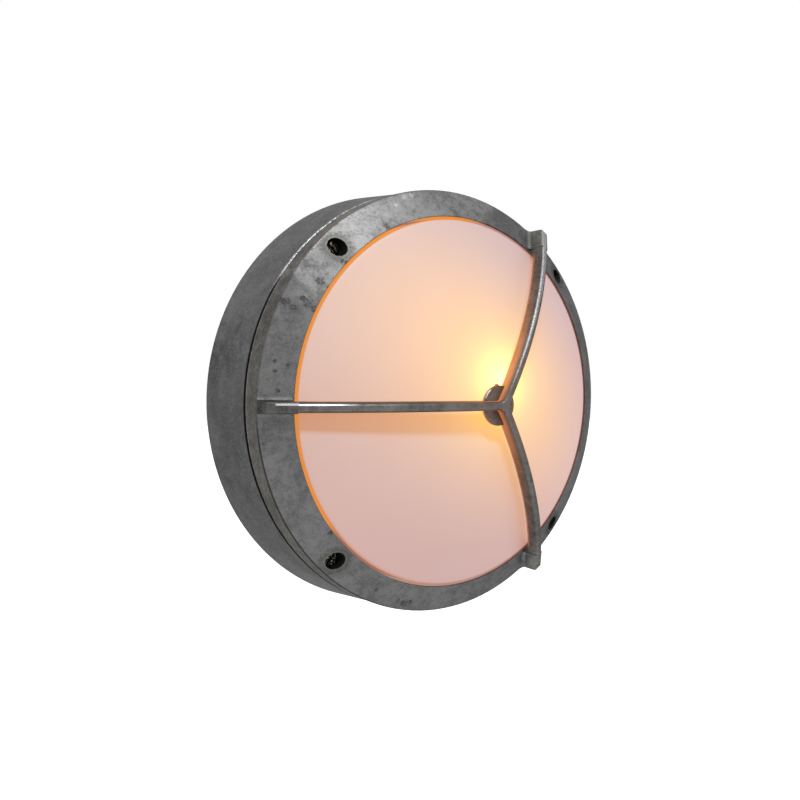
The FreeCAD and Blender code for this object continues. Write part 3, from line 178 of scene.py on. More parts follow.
def grey(*values):
    """A colour from one, or three, linear values."""
    return (*(values * 3 if len(values) == 1 else values), 1)


def length(*wires):
    """The root of the sum of the squares."""
    total = wires[0] * wires[0]
    for wire in wires[1:]:
        total = total + wire * wire
    return root(total)


print("expressions are ready")

# %% [markdown]
# ## Places and noise
#
# A finish that wears or gathers dirt needs to know where a point lies on the part. Object
# coordinates say that, and they stay with the part when it is moved. The light is a round thing
# that stands out from the wall, so its places are told as a round thing's: how far across and how
# far up from the axis, the level above the wall, and the distance from the axis. Noise, fed with
# the same coordinates, breaks up what would otherwise be too even.

# %% Places, noise and materials
def object_spot(start):
    """Object coordinates, in metres."""
    return start.node("ShaderNodeTexCoord", out=3)


def axis_place(spot):
    """In mm: across, level above the wall, upward, and distance from the axis."""
    split = spot.node("ShaderNodeSeparateXYZ", None, {0: spot})
    x, y, z = (Wire(spot.tree, socket) for socket in split.socket.node.outputs)
    across, level, upward = x / MM, y / -MM, z / MM
    return across, level, upward, length(across, upward)


def speckle(spot, size, detail=4, rough=0.6, lean=0.0):
    """Noise between about 0.3 and 0.7; size is the width of its patches in metres."""
    values = {"Vector": spot, "Scale": 1 / size, "Detail": detail, "Roughness": rough,
              "Distortion": lean}
    return spot.node("ShaderNodeTexNoise", {"noise_dimensions": "3D"}, values)


def finish(name, **fixed):
    """A new material: its Principled shader with fixed values, and a first wire to build from."""
    material = bpy.data.materials.new(name)
    material.use_nodes = True
    tree = material.node_tree
    shader = tree.nodes["Principled BSDF"]
    for socket, value in fixed.items():
        shader.inputs[socket.replace("_", " ")].default_value = value
    return material, Wire(tree)


def feed(material, **wires):
    """Plugs wires into the Principled shader's sockets."""
    shader = material.node_tree.nodes["Principled BSDF"]
    for socket, wire in wires.items():
        material.node_tree.links.new(wire.socket, shader.inputs[socket.replace("_", " ")])
    return material


def bump(height, depth, strength):
    """A bump of that depth in metres for a height between 0 and 1."""
    values = {"Strength": strength, "Distance": depth, "Height": height}
    return height.node("ShaderNodeBump", None, values)


print("the helpers of the finishes are ready")

# %% [markdown]
# ## Studio
#
# The object stands out in front of white, with soft light from the upper left front. The world
# is plain white for what the camera and the reflections see, and weaker as a light, so the metal
# mirrors a bright room and the forms still have shade. A white world alone would be simpler, but
# it lights every side alike and the forms go flat. The floor lies well below the object, out of
# the picture. Of the two lamps one is long and low and makes the soft shadows of the arms, and the
# other shows only in reflections, as a sheen on the upper edges.

# %% The world
WORLD_LIGHT = 0.5


def seen_share(start):
    """1 for what the camera sees, straight, mirrored or through glass; 0 for what only lights."""
    rays = start.node("ShaderNodeLightPath").socket.node.outputs
    seen = Wire(start.tree, rays["Is Camera Ray"])
    for kind in ("Is Glossy Ray", "Is Transmission Ray"):
        seen = largest(seen, Wire(start.tree, rays[kind]))
    return seen


world = bpy.data.worlds.new("studio")
scene.world = world
world.use_nodes = True
background = world.node_tree.nodes["Background"]
background.inputs["Color"].default_value = grey(1)
strength = WORLD_LIGHT + (1 - WORLD_LIGHT) * seen_share(Wire(world.node_tree))
world.node_tree.links.new(strength.socket, background.inputs["Strength"])
print("the world lights with", WORLD_LIGHT, "of what it shows")

# %% The floor
FLOOR_LEVEL = -1.0
FLOOR_REACH = 12
FLOOR_WHITE = 0.92

corners = [(-FLOOR_REACH, -FLOOR_REACH), (FLOOR_REACH, -FLOOR_REACH),
           (FLOOR_REACH, FLOOR_REACH), (-FLOOR_REACH, FLOOR_REACH)]
floor_mesh = bpy.data.meshes.new("floor")
floor_mesh.from_pydata([(x, y, FLOOR_LEVEL) for x, y in corners], [], [(0, 1, 2, 3)])
floor = bpy.data.objects.new("floor", floor_mesh)
scene.collection.objects.link(floor)
paper, start = finish("pale_floor", Roughness=0.9, Specular_IOR_Level=0.1, Emission_Strength=1.0)
fibres = speckle(object_spot(start), 0.02, detail=2)
feed(paper,
     Base_Color=blend(fibres, grey(0.78), grey(0.8)),
     Emission_Color=blend(seen_share(start), grey(0), grey(FLOOR_WHITE)))
floor_mesh.materials.append(paper)
print("the floor lies at", FLOOR_LEVEL, "m")

# %% The lamps
def soft_lamp(name, azimuth, elevation, distance, wide, high, power, **shown):
    """A rectangular lamp at that direction from the object's middle, facing it."""
    light = bpy.data.lights.new(name, "AREA")
    light.shape = "RECTANGLE"
    light.size, light.size_y = wide, high
    light.energy = power
    lamp = bpy.data.objects.new(name, light)
    a, e = math.radians(azimuth), math.radians(elevation)
    away = Vector((math.sin(a) * math.cos(e), -math.cos(a) * math.cos(e), math.sin(e)))
    lamp.location = Vector(TARGET) + away * distance
    lamp.rotation_euler = away.to_track_quat("Z", "Y").to_euler()
    for ray, on in shown.items():
        setattr(lamp, "visible_" + ray, on)
    scene.collection.objects.link(lamp)


soft_lamp("key_lamp", -28, 40, 1.2, 0.50, 0.12, 14.0, glossy=False, camera=False)
soft_lamp("edge_lamp", -18, 62, 1.2, 0.45, 0.45, 7.0, diffuse=False, camera=False)
scene.view_settings.view_transform = "Standard"

# %% [markdown]
# ## Where the marks of a casting sit
#
# The bowl and the guard are old sand castings, and their grey is never even. Dirt settles round
# screws and rain leaves stains. Some marks are painted light and shade: the gaps are painted black
# as shade, with some dirt, highlights are painted on edges and crests at the upper left, and a
# patch of the face there is paler, partly from the weather and partly as a painted highlight. A
# texture could be painted for that, but it would have to be painted again for each new size. Here
# each mark is a mask between 0 and 1, worked out from the distance to a circle, a level, an arm or
# a few spots, with its edge broken up by noise. So the sizes of the casting come first.

# %% Sizes of the ring and its arms, in mm
RING_EDGE = (130.0, 57.3)
RING_LIP = (113.0, 66.7)
FACE_FALL = (RING_LIP[1] - RING_EDGE[1]) / (RING_EDGE[0] - RING_LIP[0])
RING_BACK, BOWL_RIM = 44.8, 43.2
SCREW_SPOT = 121.6 / math.sqrt(2)
RECESS = 5.2
ARC_RADIUS, CROWN = 254.0, 106.1
ARMS = 3
FOOT_START = 116.0
DISC_FACE, DISC_RADIUS = 99.8, 11.8
LAMP_SPOT = (10.5, 14.0)
print("the ring's face falls", round(FACE_FALL, 3), "mm for each mm outwards")

# %% Masks from places
def arm_place(across, upward, radius, level):
    """How deep a point lies behind an arm's front, how far beside its middle, and how far out.

    The arms are alike, so the direction is folded onto one of them. The arm's front is an arc:
    level = crown - arc radius + the root of (arc radius squared - distance along squared).
    """
    turn = radius.maths("ARCTAN2", upward, across) + math.pi + math.pi / ARMS
    folded = turn.maths("FLOORED_MODULO", turn, 2 * math.pi / ARMS) - math.pi / ARMS
    beside = radius * folded.maths("SINE", folded)
    along = radius * folded.maths("COSINE", folded)
    front = root(ARC_RADIUS ** 2 - along * along)
    return front + (CROWN - ARC_RADIUS) - level, beside, along


def sector(across, upward, radius, middle, half, fray=0):
    """1 within half degrees of the direction middle, counted from the right, frayed by noise."""
    a = math.radians(middle)
    share = (across * math.cos(a) + upward * math.sin(a)) / radius + fray
    return rise(share, math.cos(math.radians(half + 5)), math.cos(math.radians(half - 5)))


def stains(across, upward, spots, wobble):
    """1 inside any of the round spots (across, upward, size) in mm, with ragged outlines.

    A spot fades out between 0.6 and 1.7 times its size, and the noise decides where it ends. The
    second rise keeps the noise from making stains where there is no spot.
    """
    found = None
    for spot_across, spot_upward, size in spots:
        distance = length(across - spot_across, upward - spot_upward)
        one = rise(distance, size * 1.7, size * 0.6)
        found = largest(found, one) if found else one
    return rise(found * 0.12 + wobble, 0.565, 0.61) * rise(found, 0.05, 0.25)


def casting_skin(spot):
    """Noise of a casting: clouds as wide as a thumb, mottling, and the grain of the sand."""
    clouds = speckle(spot, 0.030, detail=4, rough=0.6, lean=0.4)
    mottle = speckle(spot, 0.0070, detail=5, rough=0.72)
    grain = speckle(spot, 0.0014, detail=3, rough=0.7)
    return clouds, mottle, grain


SKIN_DEPTH, SKIN_STRENGTH = 0.0003, 0.7
# The black of the gaps: painted shade, with some dirt.
GAP_SHADE_AND_GRIME = grey(0.006)
print("masks for arms, sectors and stains are ready")

# %% [markdown]
# ## The bowl's finish
#
# The bowl is the dull part of the light: dark blue-grey, cloudy, with a fine grain, and paler at
# the upper left. The gap at its rim is painted black, as shade with some dirt, and at the upper
# left the rim has a painted highlight, a thin bright line on its rounding. Its metal is not fully
# metallic, because an old oxide skin scatters some of the light.

# %% The bowl's finish
bowl_metal, start = finish("cast_bowl_metal", Metallic=0.7, Specular_IOR_Level=0.35,
                           Specular_Tint=grey(0.4))
spot = object_spot(start)
across, level, upward, radius = axis_place(spot)
clouds, mottle, grain = casting_skin(spot)

# The upper left of the bowl is paler.
paler_upper_left = sector(across, upward, radius, 140, 26, (mottle - 0.5) * 0.3)
dark = blend(paler_upper_left, grey(0.060, 0.060, 0.062), grey(0.082, 0.082, 0.083))
pale = blend(paler_upper_left, grey(0.132, 0.132, 0.135), grey(0.170, 0.170, 0.172))
tone = (clouds - 0.5) * 1.3 + (mottle - 0.5) * 0.9 + (grain - 0.5) * 1.3 + 0.5
colour = blend(rise(tone, 0.0, 1.0), dark, pale)
colour = blend(rise(grain, 0.62, 0.68) * 0.15, colour, grey(0.30))

upper_left = sector(across, upward, radius, 130, 18)
# A painted highlight: a thin bright line on the rim's rounding at the upper left.
painted_rim_highlight = upper_left * rise(level, BOWL_RIM - 1.5, BOWL_RIM - 1.1) * rise(grain, 0.40, 0.52)
colour = blend(painted_rim_highlight * 0.85, colour, grey(0.6, 0.6, 0.61))
# The gap at the rim is painted black: painted shade, with some dirt.
ragged_level = level + (grain - 0.5) * 0.6 - upper_left * 0.8
gap_shade_and_grime = rise(ragged_level, BOWL_RIM - 0.9, BOWL_RIM - 0.3)
colour = blend(gap_shade_and_grime * 0.95, colour, GAP_SHADE_AND_GRIME)
feed(bowl_metal,
     Base_Color=colour,
     Roughness=0.5 + clouds * 0.1 + gap_shade_and_grime * 0.3 - painted_rim_highlight * 0.15,
     Normal=bump(grain * 0.4 + mottle * 0.4, SKIN_DEPTH, SKIN_STRENGTH))
print("the bowl's finish has", len(bowl_metal.node_tree.nodes), "nodes")

# %% [markdown]
# ## The guard's greys
#
# The guard is one casting, but its areas differ. The side band is brownish, the sloping face a
# cooler grey with a paler patch at the upper left, partly kept bare by the weather and partly a
# painted highlight, and the arms are darker.
# One material does them all, because the real part is one piece with no seams: each area is a mask,
# and the masks choose a dark and a pale end between which clouds, mottling and grain move.

# %% Areas of the guard
guard_metal, start = finish("cast_guard_metal", Metallic=0.72, Specular_IOR_Level=0.35,
                            Specular_Tint=grey(0.25), Emission_Strength=1.0)
spot = object_spot(start)
across, level, upward, radius = axis_place(spot)
clouds, mottle, grain = casting_skin(spot)
behind, beside, along = arm_place(across, upward, radius, level)
above_face = level - ((RING_EDGE[0] - radius) * FACE_FALL + RING_EDGE[1])

band = rise(level, RING_EDGE[1], RING_EDGE[1] - 0.4)
arm = largest(rise(above_face, 0.7, 1.8), rise(radius, RING_LIP[0] - 0.6, RING_LIP[0] - 1.4))
arm = arm * rise(level, RING_EDGE[1] - 0.1, RING_EDGE[1] + 0.4)
left_foot = arm * rise(across, -113, -117)
right_feet = arm * rise(along, FOOT_START - 5, FOOT_START) * rise(across, 0, 10)
upper_arm = rise(upward, 5, 15) * rise(across, 0, 10)
# A paler patch of the face at the upper left: partly bare from the weather, partly a painted
# highlight.
patch_and_highlight_fray = (mottle - 0.5) * 0.35 + (clouds - 0.5) * 0.15
clean_patch_and_highlight = sector(across, upward, radius, 114, 32, patch_and_highlight_fray) * (1 - arm)
disc = rise(radius, DISC_RADIUS + 0.4, DISC_RADIUS + 0.1)
disc = disc * rise(level, DISC_FACE + 0.4, DISC_FACE + 0.1)
on_ring = rise(radius, RING_LIP[0] - 5, RING_LIP[0] - 1)
on_face = (1 - band) * (1 - arm)
print("the guard's areas are masks")

# %% The guard's greys
dark = blend(clean_patch_and_highlight, grey(0.088, 0.089, 0.090), grey(0.092, 0.092, 0.093))
pale = blend(clean_patch_and_highlight, grey(0.168, 0.168, 0.166), grey(0.235, 0.235, 0.233))
band_dark = blend(clean_patch_and_highlight, grey(0.072, 0.069, 0.063), grey(0.102, 0.099, 0.092))
band_pale = blend(clean_patch_and_highlight, grey(0.168, 0.161, 0.149), grey(0.212, 0.207, 0.194))
dark, pale = blend(band, dark, band_dark), blend(band, pale, band_pale)
for area, area_dark, area_pale in (
    (arm, grey(0.058, 0.056, 0.053), grey(0.150, 0.145, 0.138)),
    (left_foot, grey(0.030, 0.030, 0.028), grey(0.100, 0.098, 0.093)),
    (right_feet, grey(0.078, 0.078, 0.074), grey(0.200, 0.198, 0.188)),
):
    dark, pale = blend(area, dark, area_dark), blend(area, pale, area_pale)
tone = (clouds - 0.5) * 1.1 + (mottle - 0.5) * 1.7 + (grain - 0.5) * 1.2 + 0.52
colour = blend(rise(tone, 0.0, 1.0), dark, pale)
print("the guard's greys are mixed")

# %% [markdown]
# ## The disc's finish
#
# The small disc behind the crossing stands in front of the lamp, and heat and light have turned it
# brown. Its upper left edge is worn bright. It could be a piece with a material of its own, but on
# the real part it is cast on, so it stays in the guard's material: a mask of the distance from the
# axis and of the level brings in its own two browns, and a sector of its rim the bright arc.

# %% The disc's finish
disc_brown = blend(tone, grey(0.075, 0.056, 0.048), grey(0.185, 0.14, 0.12))
colour = blend(disc, colour, disc_brown)
worn_arc = rise(radius, DISC_RADIUS - 0.9, DISC_RADIUS - 0.5)
worn_arc = worn_arc * rise(level, DISC_FACE - 1.0, DISC_FACE - 0.5)
worn_arc = worn_arc * sector(across, upward, radius, 142, 14)
colour = blend(worn_arc * disc * 0.7, colour, grey(0.60, 0.54, 0.56))
print("the disc is brown with a worn edge")

# %% [markdown]
# ## Stains, screw holes and glints
#
# Rain has left dark flecks on the face, most of them at the left. Noise alone would put flecks
# anywhere, so each is a spot in a list, and noise only makes its outline ragged. Dirt rings each
# screw hole, the rim of each hole has a faint painted highlight on its chamfer, and the drilled
# holes are painted in shade, nearly black at the left and dark grey at the right. The four holes
# are alike, so their distance is measured once, with left and right and above and below folded
# together. A few paler flecks, painted glints on the rims of two holes and pale scratches at the
# top, are made in the same way from a second list.

# %% Stains, screw holes and glints
STAINS = [
    (-104.0, 53.8, 2.3), (-101.8, 51.2, 1.5), (-106.5, 56.5, 1.4), (-114.9, 54.4, 2.0),
    (-111.5, 51.5, 1.8), (-117.6, 56.6, 1.3), (-121.3, 23.6, 1.0), (-115.7, 21.6, 0.8),
    (-121.5, 18.5, 0.9), (-120.4, 8.7, 1.0), (-126.7, -19.3, 0.9), (-97.5, 66.5, 2.0),
    (-84.1, 77.6, 1.8), (-92.8, 62.5, 1.4), (-56.5, 100.7, 1.7), (-59.2, -107.2, 1.0),
    (-43.0, -116.6, 1.1), (-38.4, -119.3, 2.2), (-34.4, -119.3, 1.5), (-91.6, -68.9, 1.2),
]
GLINTS_AND_SCRATCHES = [(-85.6, -90.2, 1.0), (93.5, 86.0, 1.1), (-47.2, 114.6, 0.9), (-40.4, 120.8, 1.4),
          (-35.0, 122.4, 1.3)]

ragged = grain * 0.7 + mottle * 0.3
old_stains = stains(across, upward, STAINS, ragged) * on_face
colour = blend(old_stains * 0.7, colour, grey(0.036, 0.037, 0.038))

hole = length(absolute(across) - SCREW_SPOT, absolute(upward) - SCREW_SPOT)
smudge = rise(rise(hole, 12, 6) * 0.16 + mottle * 0.5 + grain * 0.5, 0.58, 0.66)
colour = blend(smudge * on_ring * (1 - band) * 0.7, colour, grey(0.050, 0.051, 0.044))
# A faint paler rim round each hole: a painted highlight on its chamfer.
chamfer_highlight = rise(hole, RECESS + 1.0, RECESS + 0.6) * rise(above_face, -0.9, -0.4) * on_ring
colour = blend(chamfer_highlight * rise(grain, 0.40, 0.55) * 0.15, colour, grey(0.30, 0.30, 0.29))
# Paler flecks: painted glints on the rims of two holes, and pale scratches at the top.
glints_and_scratches = stains(across, upward, GLINTS_AND_SCRATCHES, ragged) * on_face
colour = blend(glints_and_scratches * 0.3, colour, grey(0.50))
# The drilled holes are painted in shade, nearly black at the left and dark grey at the right.
recess_shade = rise(hole, RECESS + 0.4, RECESS + 0.15) * rise(above_face, -0.4, -1.0)
depth = blend(rise(across, -20, 20), grey(0.012, 0.012, 0.010), grey(0.050, 0.050, 0.044))
colour = blend(recess_shade * 0.92, colour, depth)
print(len(STAINS), "stains and", len(GLINTS_AND_SCRATCHES), "glints on the face")

# %% [markdown]
# ## Edges
#
# Where the face meets the band, the casting has a rounded edge. It is a little darker all round,
# with a dark line at the lower left, and at the upper left it is worn bare and has a painted
# highlight. At the back edge, next to the gap, a thin pale line runs along the left, and then the
# gap is painted black, as shade with some dirt. A node that finds edges by their bend would mark
# all of them alike; the distance to the circle of one edge marks just that edge, and a sector says
# how far round.

# %% The ring's edges
edge_distance = length(radius - RING_EDGE[0], level - RING_EDGE[1])
edge = rise(edge_distance, 1.1, 0.5)
colour = blend(edge * 0.4, colour, grey(0.055, 0.051, 0.047))
edge_line = rise(edge_distance, 0.8, 0.4) * sector(across, upward, radius, 216, 32)
colour = blend(edge_line * 0.8, colour, grey(0.016, 0.016, 0.015))
# At the upper left the edge is worn bare and has a painted highlight.
edge_wear_and_highlight = edge * sector(across, upward, radius, 136, 9) * rise(grain, 0.4, 0.55)
colour = blend(edge_wear_and_highlight * 0.6, colour, grey(0.40, 0.35, 0.34))

back_edge = rise(level, RING_BACK + 1.5, RING_BACK + 1.0)
back_edge = back_edge * rise(level, RING_BACK + 0.3, RING_BACK + 0.6)
back_edge = back_edge * sector(across, upward, radius, 172, 22) * rise(grain, 0.35, 0.5)
colour = blend(back_edge * 0.6, colour, grey(0.26, 0.24, 0.22))
# The gap behind the ring is painted black: painted shade, with some dirt.
gap_shade_and_grime = rise(level + (grain - 0.5) * 0.6, RING_BACK + 0.6, RING_BACK + 0.1)
colour = blend(gap_shade_and_grime * 0.95, colour, GAP_SHADE_AND_GRIME)
print("the ring's edges are marked")

# %% [markdown]
# ## Painted highlights on the crests
#
# The arms' crests are rounded, and their highlights are painted. On the left arm a narrow bright
# line runs along the upper rounding near its foot, and on the upper arm one side of the crest is
# bright, up to the front of its foot. Towards the hub the grey turns brown, as on the disc. More
# lamps could make these highlights, but they would light the face as well: each line is a strip of
# the arm, bounded beside its middle, along it and in depth, and the grain breaks it up.

# %% The arms' crests
left_arm = rise(across, -60, -70) * rise(along, FOOT_START - 30, FOOT_START - 12)
left_arm = left_arm * rise(along, FOOT_START + 10.5, FOOT_START + 9.5)
# A painted highlight: a narrow bright line on the left arm's upper rounding near its foot.
left_arm_highlight = left_arm * rise(beside, -1.0, -1.4) * rise(beside, -2.4, -2.0)
left_arm_highlight = left_arm_highlight * rise(behind, 1.7, 1.1)
colour = blend(left_arm_highlight * 0.9, colour, grey(0.60))

on_crest = upper_arm * rise(behind, 1.6, 1.0)
# A painted highlight along one side of the upper arm's crest.
crest_highlight = rise(beside + along * 0.026, 1.6, 2.2) * rise(beside, 2.5, 2.1)
crest_highlight = crest_highlight * on_crest * rise(grain, 0.32, 0.46)
colour = blend(crest_highlight * 0.7, colour, grey(0.34, 0.34, 0.345))
# A painted highlight on the front of the upper arm's foot.
foot_front_highlight = rise(along, FOOT_START - 0.4, FOOT_START + 0.6) * on_crest
foot_front_highlight = foot_front_highlight * rise(beside, -1.3, -0.7) * rise(beside, 2.9, 2.5)
colour = blend(foot_front_highlight * 0.7, colour, grey(0.36, 0.36, 0.35))
hub = arm * rise(radius, 55, 12) * (1 - disc)
colour = blend(hub * 0.5, colour, grey(0.150, 0.112, 0.098))
print("the crests are worn")

# %% [markdown]
# ## Light from the glass
#
# The glowing glass lights what stands before it: the sides of the arms near the lamp, the rim of
# the disc and the wall of the opening. The dome's own glow does light them a little, but the real
# lamp is far brighter than white in a picture. A lamp behind the glass would do it, at the cost of
# many more samples. The glow of the glass is a formula of the place, so its echo on the guard can
# be one too: an emission that falls off from the lamp, and with the depth behind an arm's front.

# %% The glass's light on the guard
ORANGE = grey(1.0, 0.30, 0.06)
RIM_ORANGE = grey(0.74, 0.25, 0.045)

near = length(across - LAMP_SPOT[0], upward - LAMP_SPOT[1])
spill = exponent((near / -36) * (near / 36)) * 0.47 + exponent(near / -60) * 0.13
spill = spill * rise(behind, 0.8, 5.2) * (behind * 0.05 + 0.8)
spill = spill * (1 - disc) * rise(radius, RING_LIP[0] - 0.5, RING_LIP[0] - 7)
disc_rim = rise(radius, DISC_RADIUS - 0.9, DISC_RADIUS - 0.2) * disc
disc_rim = disc_rim * rise(level, DISC_FACE - 0.5, DISC_FACE - 1.5)
arm_back = rise(behind, 7.1, 7.9) * rise(radius, RING_LIP[0] - 1, RING_LIP[0] - 9) * (1 - disc)
warm = spill + disc_rim * 0.6 + arm_back * 0.25
glow = blend(warm.maths("MINIMUM", warm, 1.0), grey(0), ORANGE)

opening = rise(radius, RING_LIP[0] + 0.4, RING_LIP[0] + 0.1)
opening = opening * rise(radius, RING_LIP[0] - 0.6, RING_LIP[0] - 0.2)
opening = opening * rise(level, RING_LIP[1] - 1.0, RING_LIP[1] - 1.6)
inward = rise(level, RING_LIP[1] - 1.8, RING_LIP[1] - 2.8)
wall_light = blend(inward, grey(0.13, 0.020, 0.008), grey(0.42, 0.25, 0.21))
wall_light = blend(sector(across, upward, radius, 130, 45), wall_light, RIM_ORANGE)
glow = blend(opening, glow, wall_light)
# A faint grey emission in the step at each foot is painted light: it lifts the shade of the crease.
step_fill_light = rise(along, FOOT_START - 0.3, FOOT_START - 0.1)
step_fill_light = step_fill_light * rise(along, FOOT_START + 0.4, FOOT_START + 0.2) * rise(behind, 0.2, 0.4)
step_fill_light = step_fill_light * rise(absolute(beside), 3.4, 3.2) * arm
glow = blend(step_fill_light, glow, grey(0.072, 0.067, 0.061))
print("the guard is lit by the glass")

# %% The guard's shader
dull = old_stains * 0.15 + recess_shade * 0.2 + gap_shade_and_grime * 0.3 - clean_patch_and_highlight * 0.06 - left_arm_highlight * 0.25
feed(guard_metal,
     Base_Color=colour,
     Roughness=0.47 + clouds * 0.12 + dull - arm * 0.12,
     Emission_Color=glow,
     Normal=bump(grain * 0.15 + mottle * 0.4, SKIN_DEPTH, SKIN_STRENGTH))
print("the guard's finish has", len(guard_metal.node_tree.nodes), "nodes")

# %% [markdown]
# ## Bowl and guard
#
# The shapes of the two castings come from the CAD model, with their rounded edges. Its mesh is
# loose triangles, which can't be shaded smooth, so a copy is merged point by point first. The
# loose mesh also brings normals of its own, and with them the wrong edges would be crisp, so they
# are dropped. Edges sharper than the limit stay crisp, and normals are weighted by face area, so
# that flat faces next to a small rounding stay flat.

# %% Smooth copies of the castings
CRISP_ANGLE = math.radians(60)


def smooth_copy(node, name, material):
    """A merged, smooth-shaded copy of a CAD node, which it replaces."""
    mesh = nodes[node].data.copy()
    work = bmesh.new()
    work.from_mesh(mesh)
    bmesh.ops.remove_doubles(work, verts=work.verts, dist=2e-6)
    work.to_mesh(mesh)
    work.free()
    mesh.attributes.remove(mesh.attributes["custom_normal"])
    mesh.shade_smooth()
    mesh.set_sharp_from_angle(angle=CRISP_ANGLE)
    mesh.materials.clear()
    mesh.materials.append(material)
    piece = bpy.data.objects.new(name, mesh)
    scene.collection.objects.link(piece)
    weighted = piece.modifiers.new("weighted", "WEIGHTED_NORMAL")
    weighted.keep_sharp = True
    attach(piece, "root")
    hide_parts(node)
    print(name, "has", len(mesh.polygons), "faces")


smooth_copy("base_housing", "bowl_casting", bowl_metal)
smooth_copy("guard_ring", "guard_casting", guard_metal)

# %% [markdown]
# ## Opal glass
#
# The dome is a turned shape: a profile of radius and level carried round the Y axis. Its front is
# part of a large sphere, its side a short cylinder, and a flange holds it behind the ring.
# It could be a sphere with cuts, but then the rounding between front and side would need a bevel.
# As a profile, each arc is a formula, and the wall thickness is a second, smaller profile inside.

# %% A shape turned round the axis
TURNED_CRISP_ANGLE = math.radians(35)


def turned(name, profile, segments, material):
    """A profile of (radius, level) in mm round the Y axis: x = r cos a, y = -level, z = r sin a."""
    radii, levels = np.array(profile, float).T
    angles = np.linspace(0, 2 * np.pi, segments, endpoint=False)
    grid = np.stack([
        radii[:, None] * np.cos(angles),
        np.broadcast_to(-levels[:, None], (len(radii), segments)),
        radii[:, None] * np.sin(angles),
    ], axis=-1).reshape(-1, 3) * MM
    rows, columns = np.meshgrid(np.arange(len(radii) - 1), np.arange(segments), indexing="ij")
    beside = (columns + 1) % segments
    faces = np.stack([
        rows * segments + columns, rows * segments + beside,
        (rows + 1) * segments + beside, (rows + 1) * segments + columns,
    ], axis=-1).reshape(-1, 4)
    mesh = bpy.data.meshes.new(name)
    mesh.from_pydata(grid.tolist(), [], faces.tolist())
    work = bmesh.new()
    work.from_mesh(mesh)
    bmesh.ops.remove_doubles(work, verts=work.verts, dist=1e-6)
    bmesh.ops.recalc_face_normals(work, faces=work.faces)
    work.to_mesh(mesh)
    work.free()
    mesh.shade_smooth()
    mesh.set_sharp_from_angle(angle=TURNED_CRISP_ANGLE)
    mesh.materials.append(material)
    piece = bpy.data.objects.new(name, mesh)
    scene.collection.objects.link(piece)
    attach(piece, "root")
    print(name, "has", len(mesh.polygons), "faces")
    return piece


print("a profile can be turned")

# %% The dome's profile
GLASS_CROWN, GLASS_BALL, GLASS_SIDE, GLASS_CORNER, GLASS_WALL = 90.0, 274.0, 111.5, 3.0, 4.0
FLANGE_RADIUS, FLANGE_FRONT, FLANGE_BACK = 116.5, 48.8, 44.8


def dome_line(crown, ball, side, corner, steps):
    """From the axis over the ball and round the corner down to the side wall.

    On the ball, radius = ball sin a and level = crown - ball + ball cos a; the corner is the same
    with its own small radius about its own middle, up to where a is a right angle.
    """
    inner = side - corner
    foot = crown - ball + math.sqrt((ball - corner) ** 2 - inner ** 2)
    lean = math.asin(inner / (ball - corner))
    over = np.linspace(0, lean, steps)
    front = np.stack([ball * np.sin(over), crown - ball + ball * np.cos(over)], axis=-1)
    bend = np.linspace(lean, np.pi / 2, 10)[1:]
    edge = np.stack([inner + corner * np.sin(bend), foot + corner * np.cos(bend)], axis=-1)
    return np.concatenate([front, edge])


outside = dome_line(GLASS_CROWN, GLASS_BALL, GLASS_SIDE, GLASS_CORNER, 40)
inside = dome_line(GLASS_CROWN - GLASS_WALL, GLASS_BALL - GLASS_WALL, GLASS_SIDE - GLASS_WALL,
                   GLASS_CORNER / 2, 24)
flange = np.array([
    (GLASS_SIDE, FLANGE_FRONT), (FLANGE_RADIUS, FLANGE_FRONT),
    (FLANGE_RADIUS, FLANGE_BACK), (GLASS_SIDE - GLASS_WALL, FLANGE_BACK),
])
glass_line = np.concatenate([outside, flange, inside[::-1]])
print("the dome's profile has", len(glass_line), "points")

# %% [markdown]
# ## The glow of the opal
#
# Opal glass scatters the lamp's light, so the glow has no edge: near the lamp it is almost white,
# then yellow, and towards the rim a pale pink. Tracing the scattering would be slow and noisy, so
# the glow is an emission that is worked out from the place: for red, green and blue a broad bell,
# drawn out in one direction, and a sharp peak in front of the lamp. At the left the light that runs
# inside the wall leaves the rounded corner, and makes a thin, deep orange rim.

# %% The glow as a formula
GLOW_MIDDLE = (8.2, 18.1)
GLOW_TURN = math.radians(144.8)
GLOW_SQUEEZE = 1.54

opal, start = finish("opal_glass", Specular_IOR_Level=0.2, Emission_Strength=1.0)
spot = object_spot(start)
across, level, upward, radius = axis_place(spot)
near = length(across - LAMP_SPOT[0], upward - LAMP_SPOT[1])
off_across, off_upward = across - GLOW_MIDDLE[0], upward - GLOW_MIDDLE[1]
along_glow = off_across * math.cos(GLOW_TURN) + off_upward * math.sin(GLOW_TURN)
beside_glow = off_upward * math.cos(GLOW_TURN) - off_across * math.sin(GLOW_TURN)
far = length(along_glow, beside_glow * GLOW_SQUEEZE)


def glow_level(steady, broad, broad_width, close, close_width, rightward, rising):
    """A level with a slow slope, a broad bell round the lamp, and a sharp peak in front of it."""
    bell = exponent((far / broad_width) * (far / broad_width) * -1)
    peak = exponent(near / -close_width)
    slope = across * (rightward / 100) + upward * (rising / 100)
    return largest(steady + broad * bell + close * peak + slope, 0.0)


red = glow_level(0.515, 0.485, 101.3, 4.0, 8.34, -0.054, -0.011)
green = glow_level(0.201, 0.236, 105.5, 1.9, 10.4, -0.009, -0.022)
blue = glow_level(0.118, -0.090, 67.8, 0.47, 10.9, 0.040, -0.028)
lit = start.node("ShaderNodeCombineColor", None, {"Red": red, "Green": green, "Blue": blue})
print("the glow's middle is", GLOW_MIDDLE, "mm from the axis")

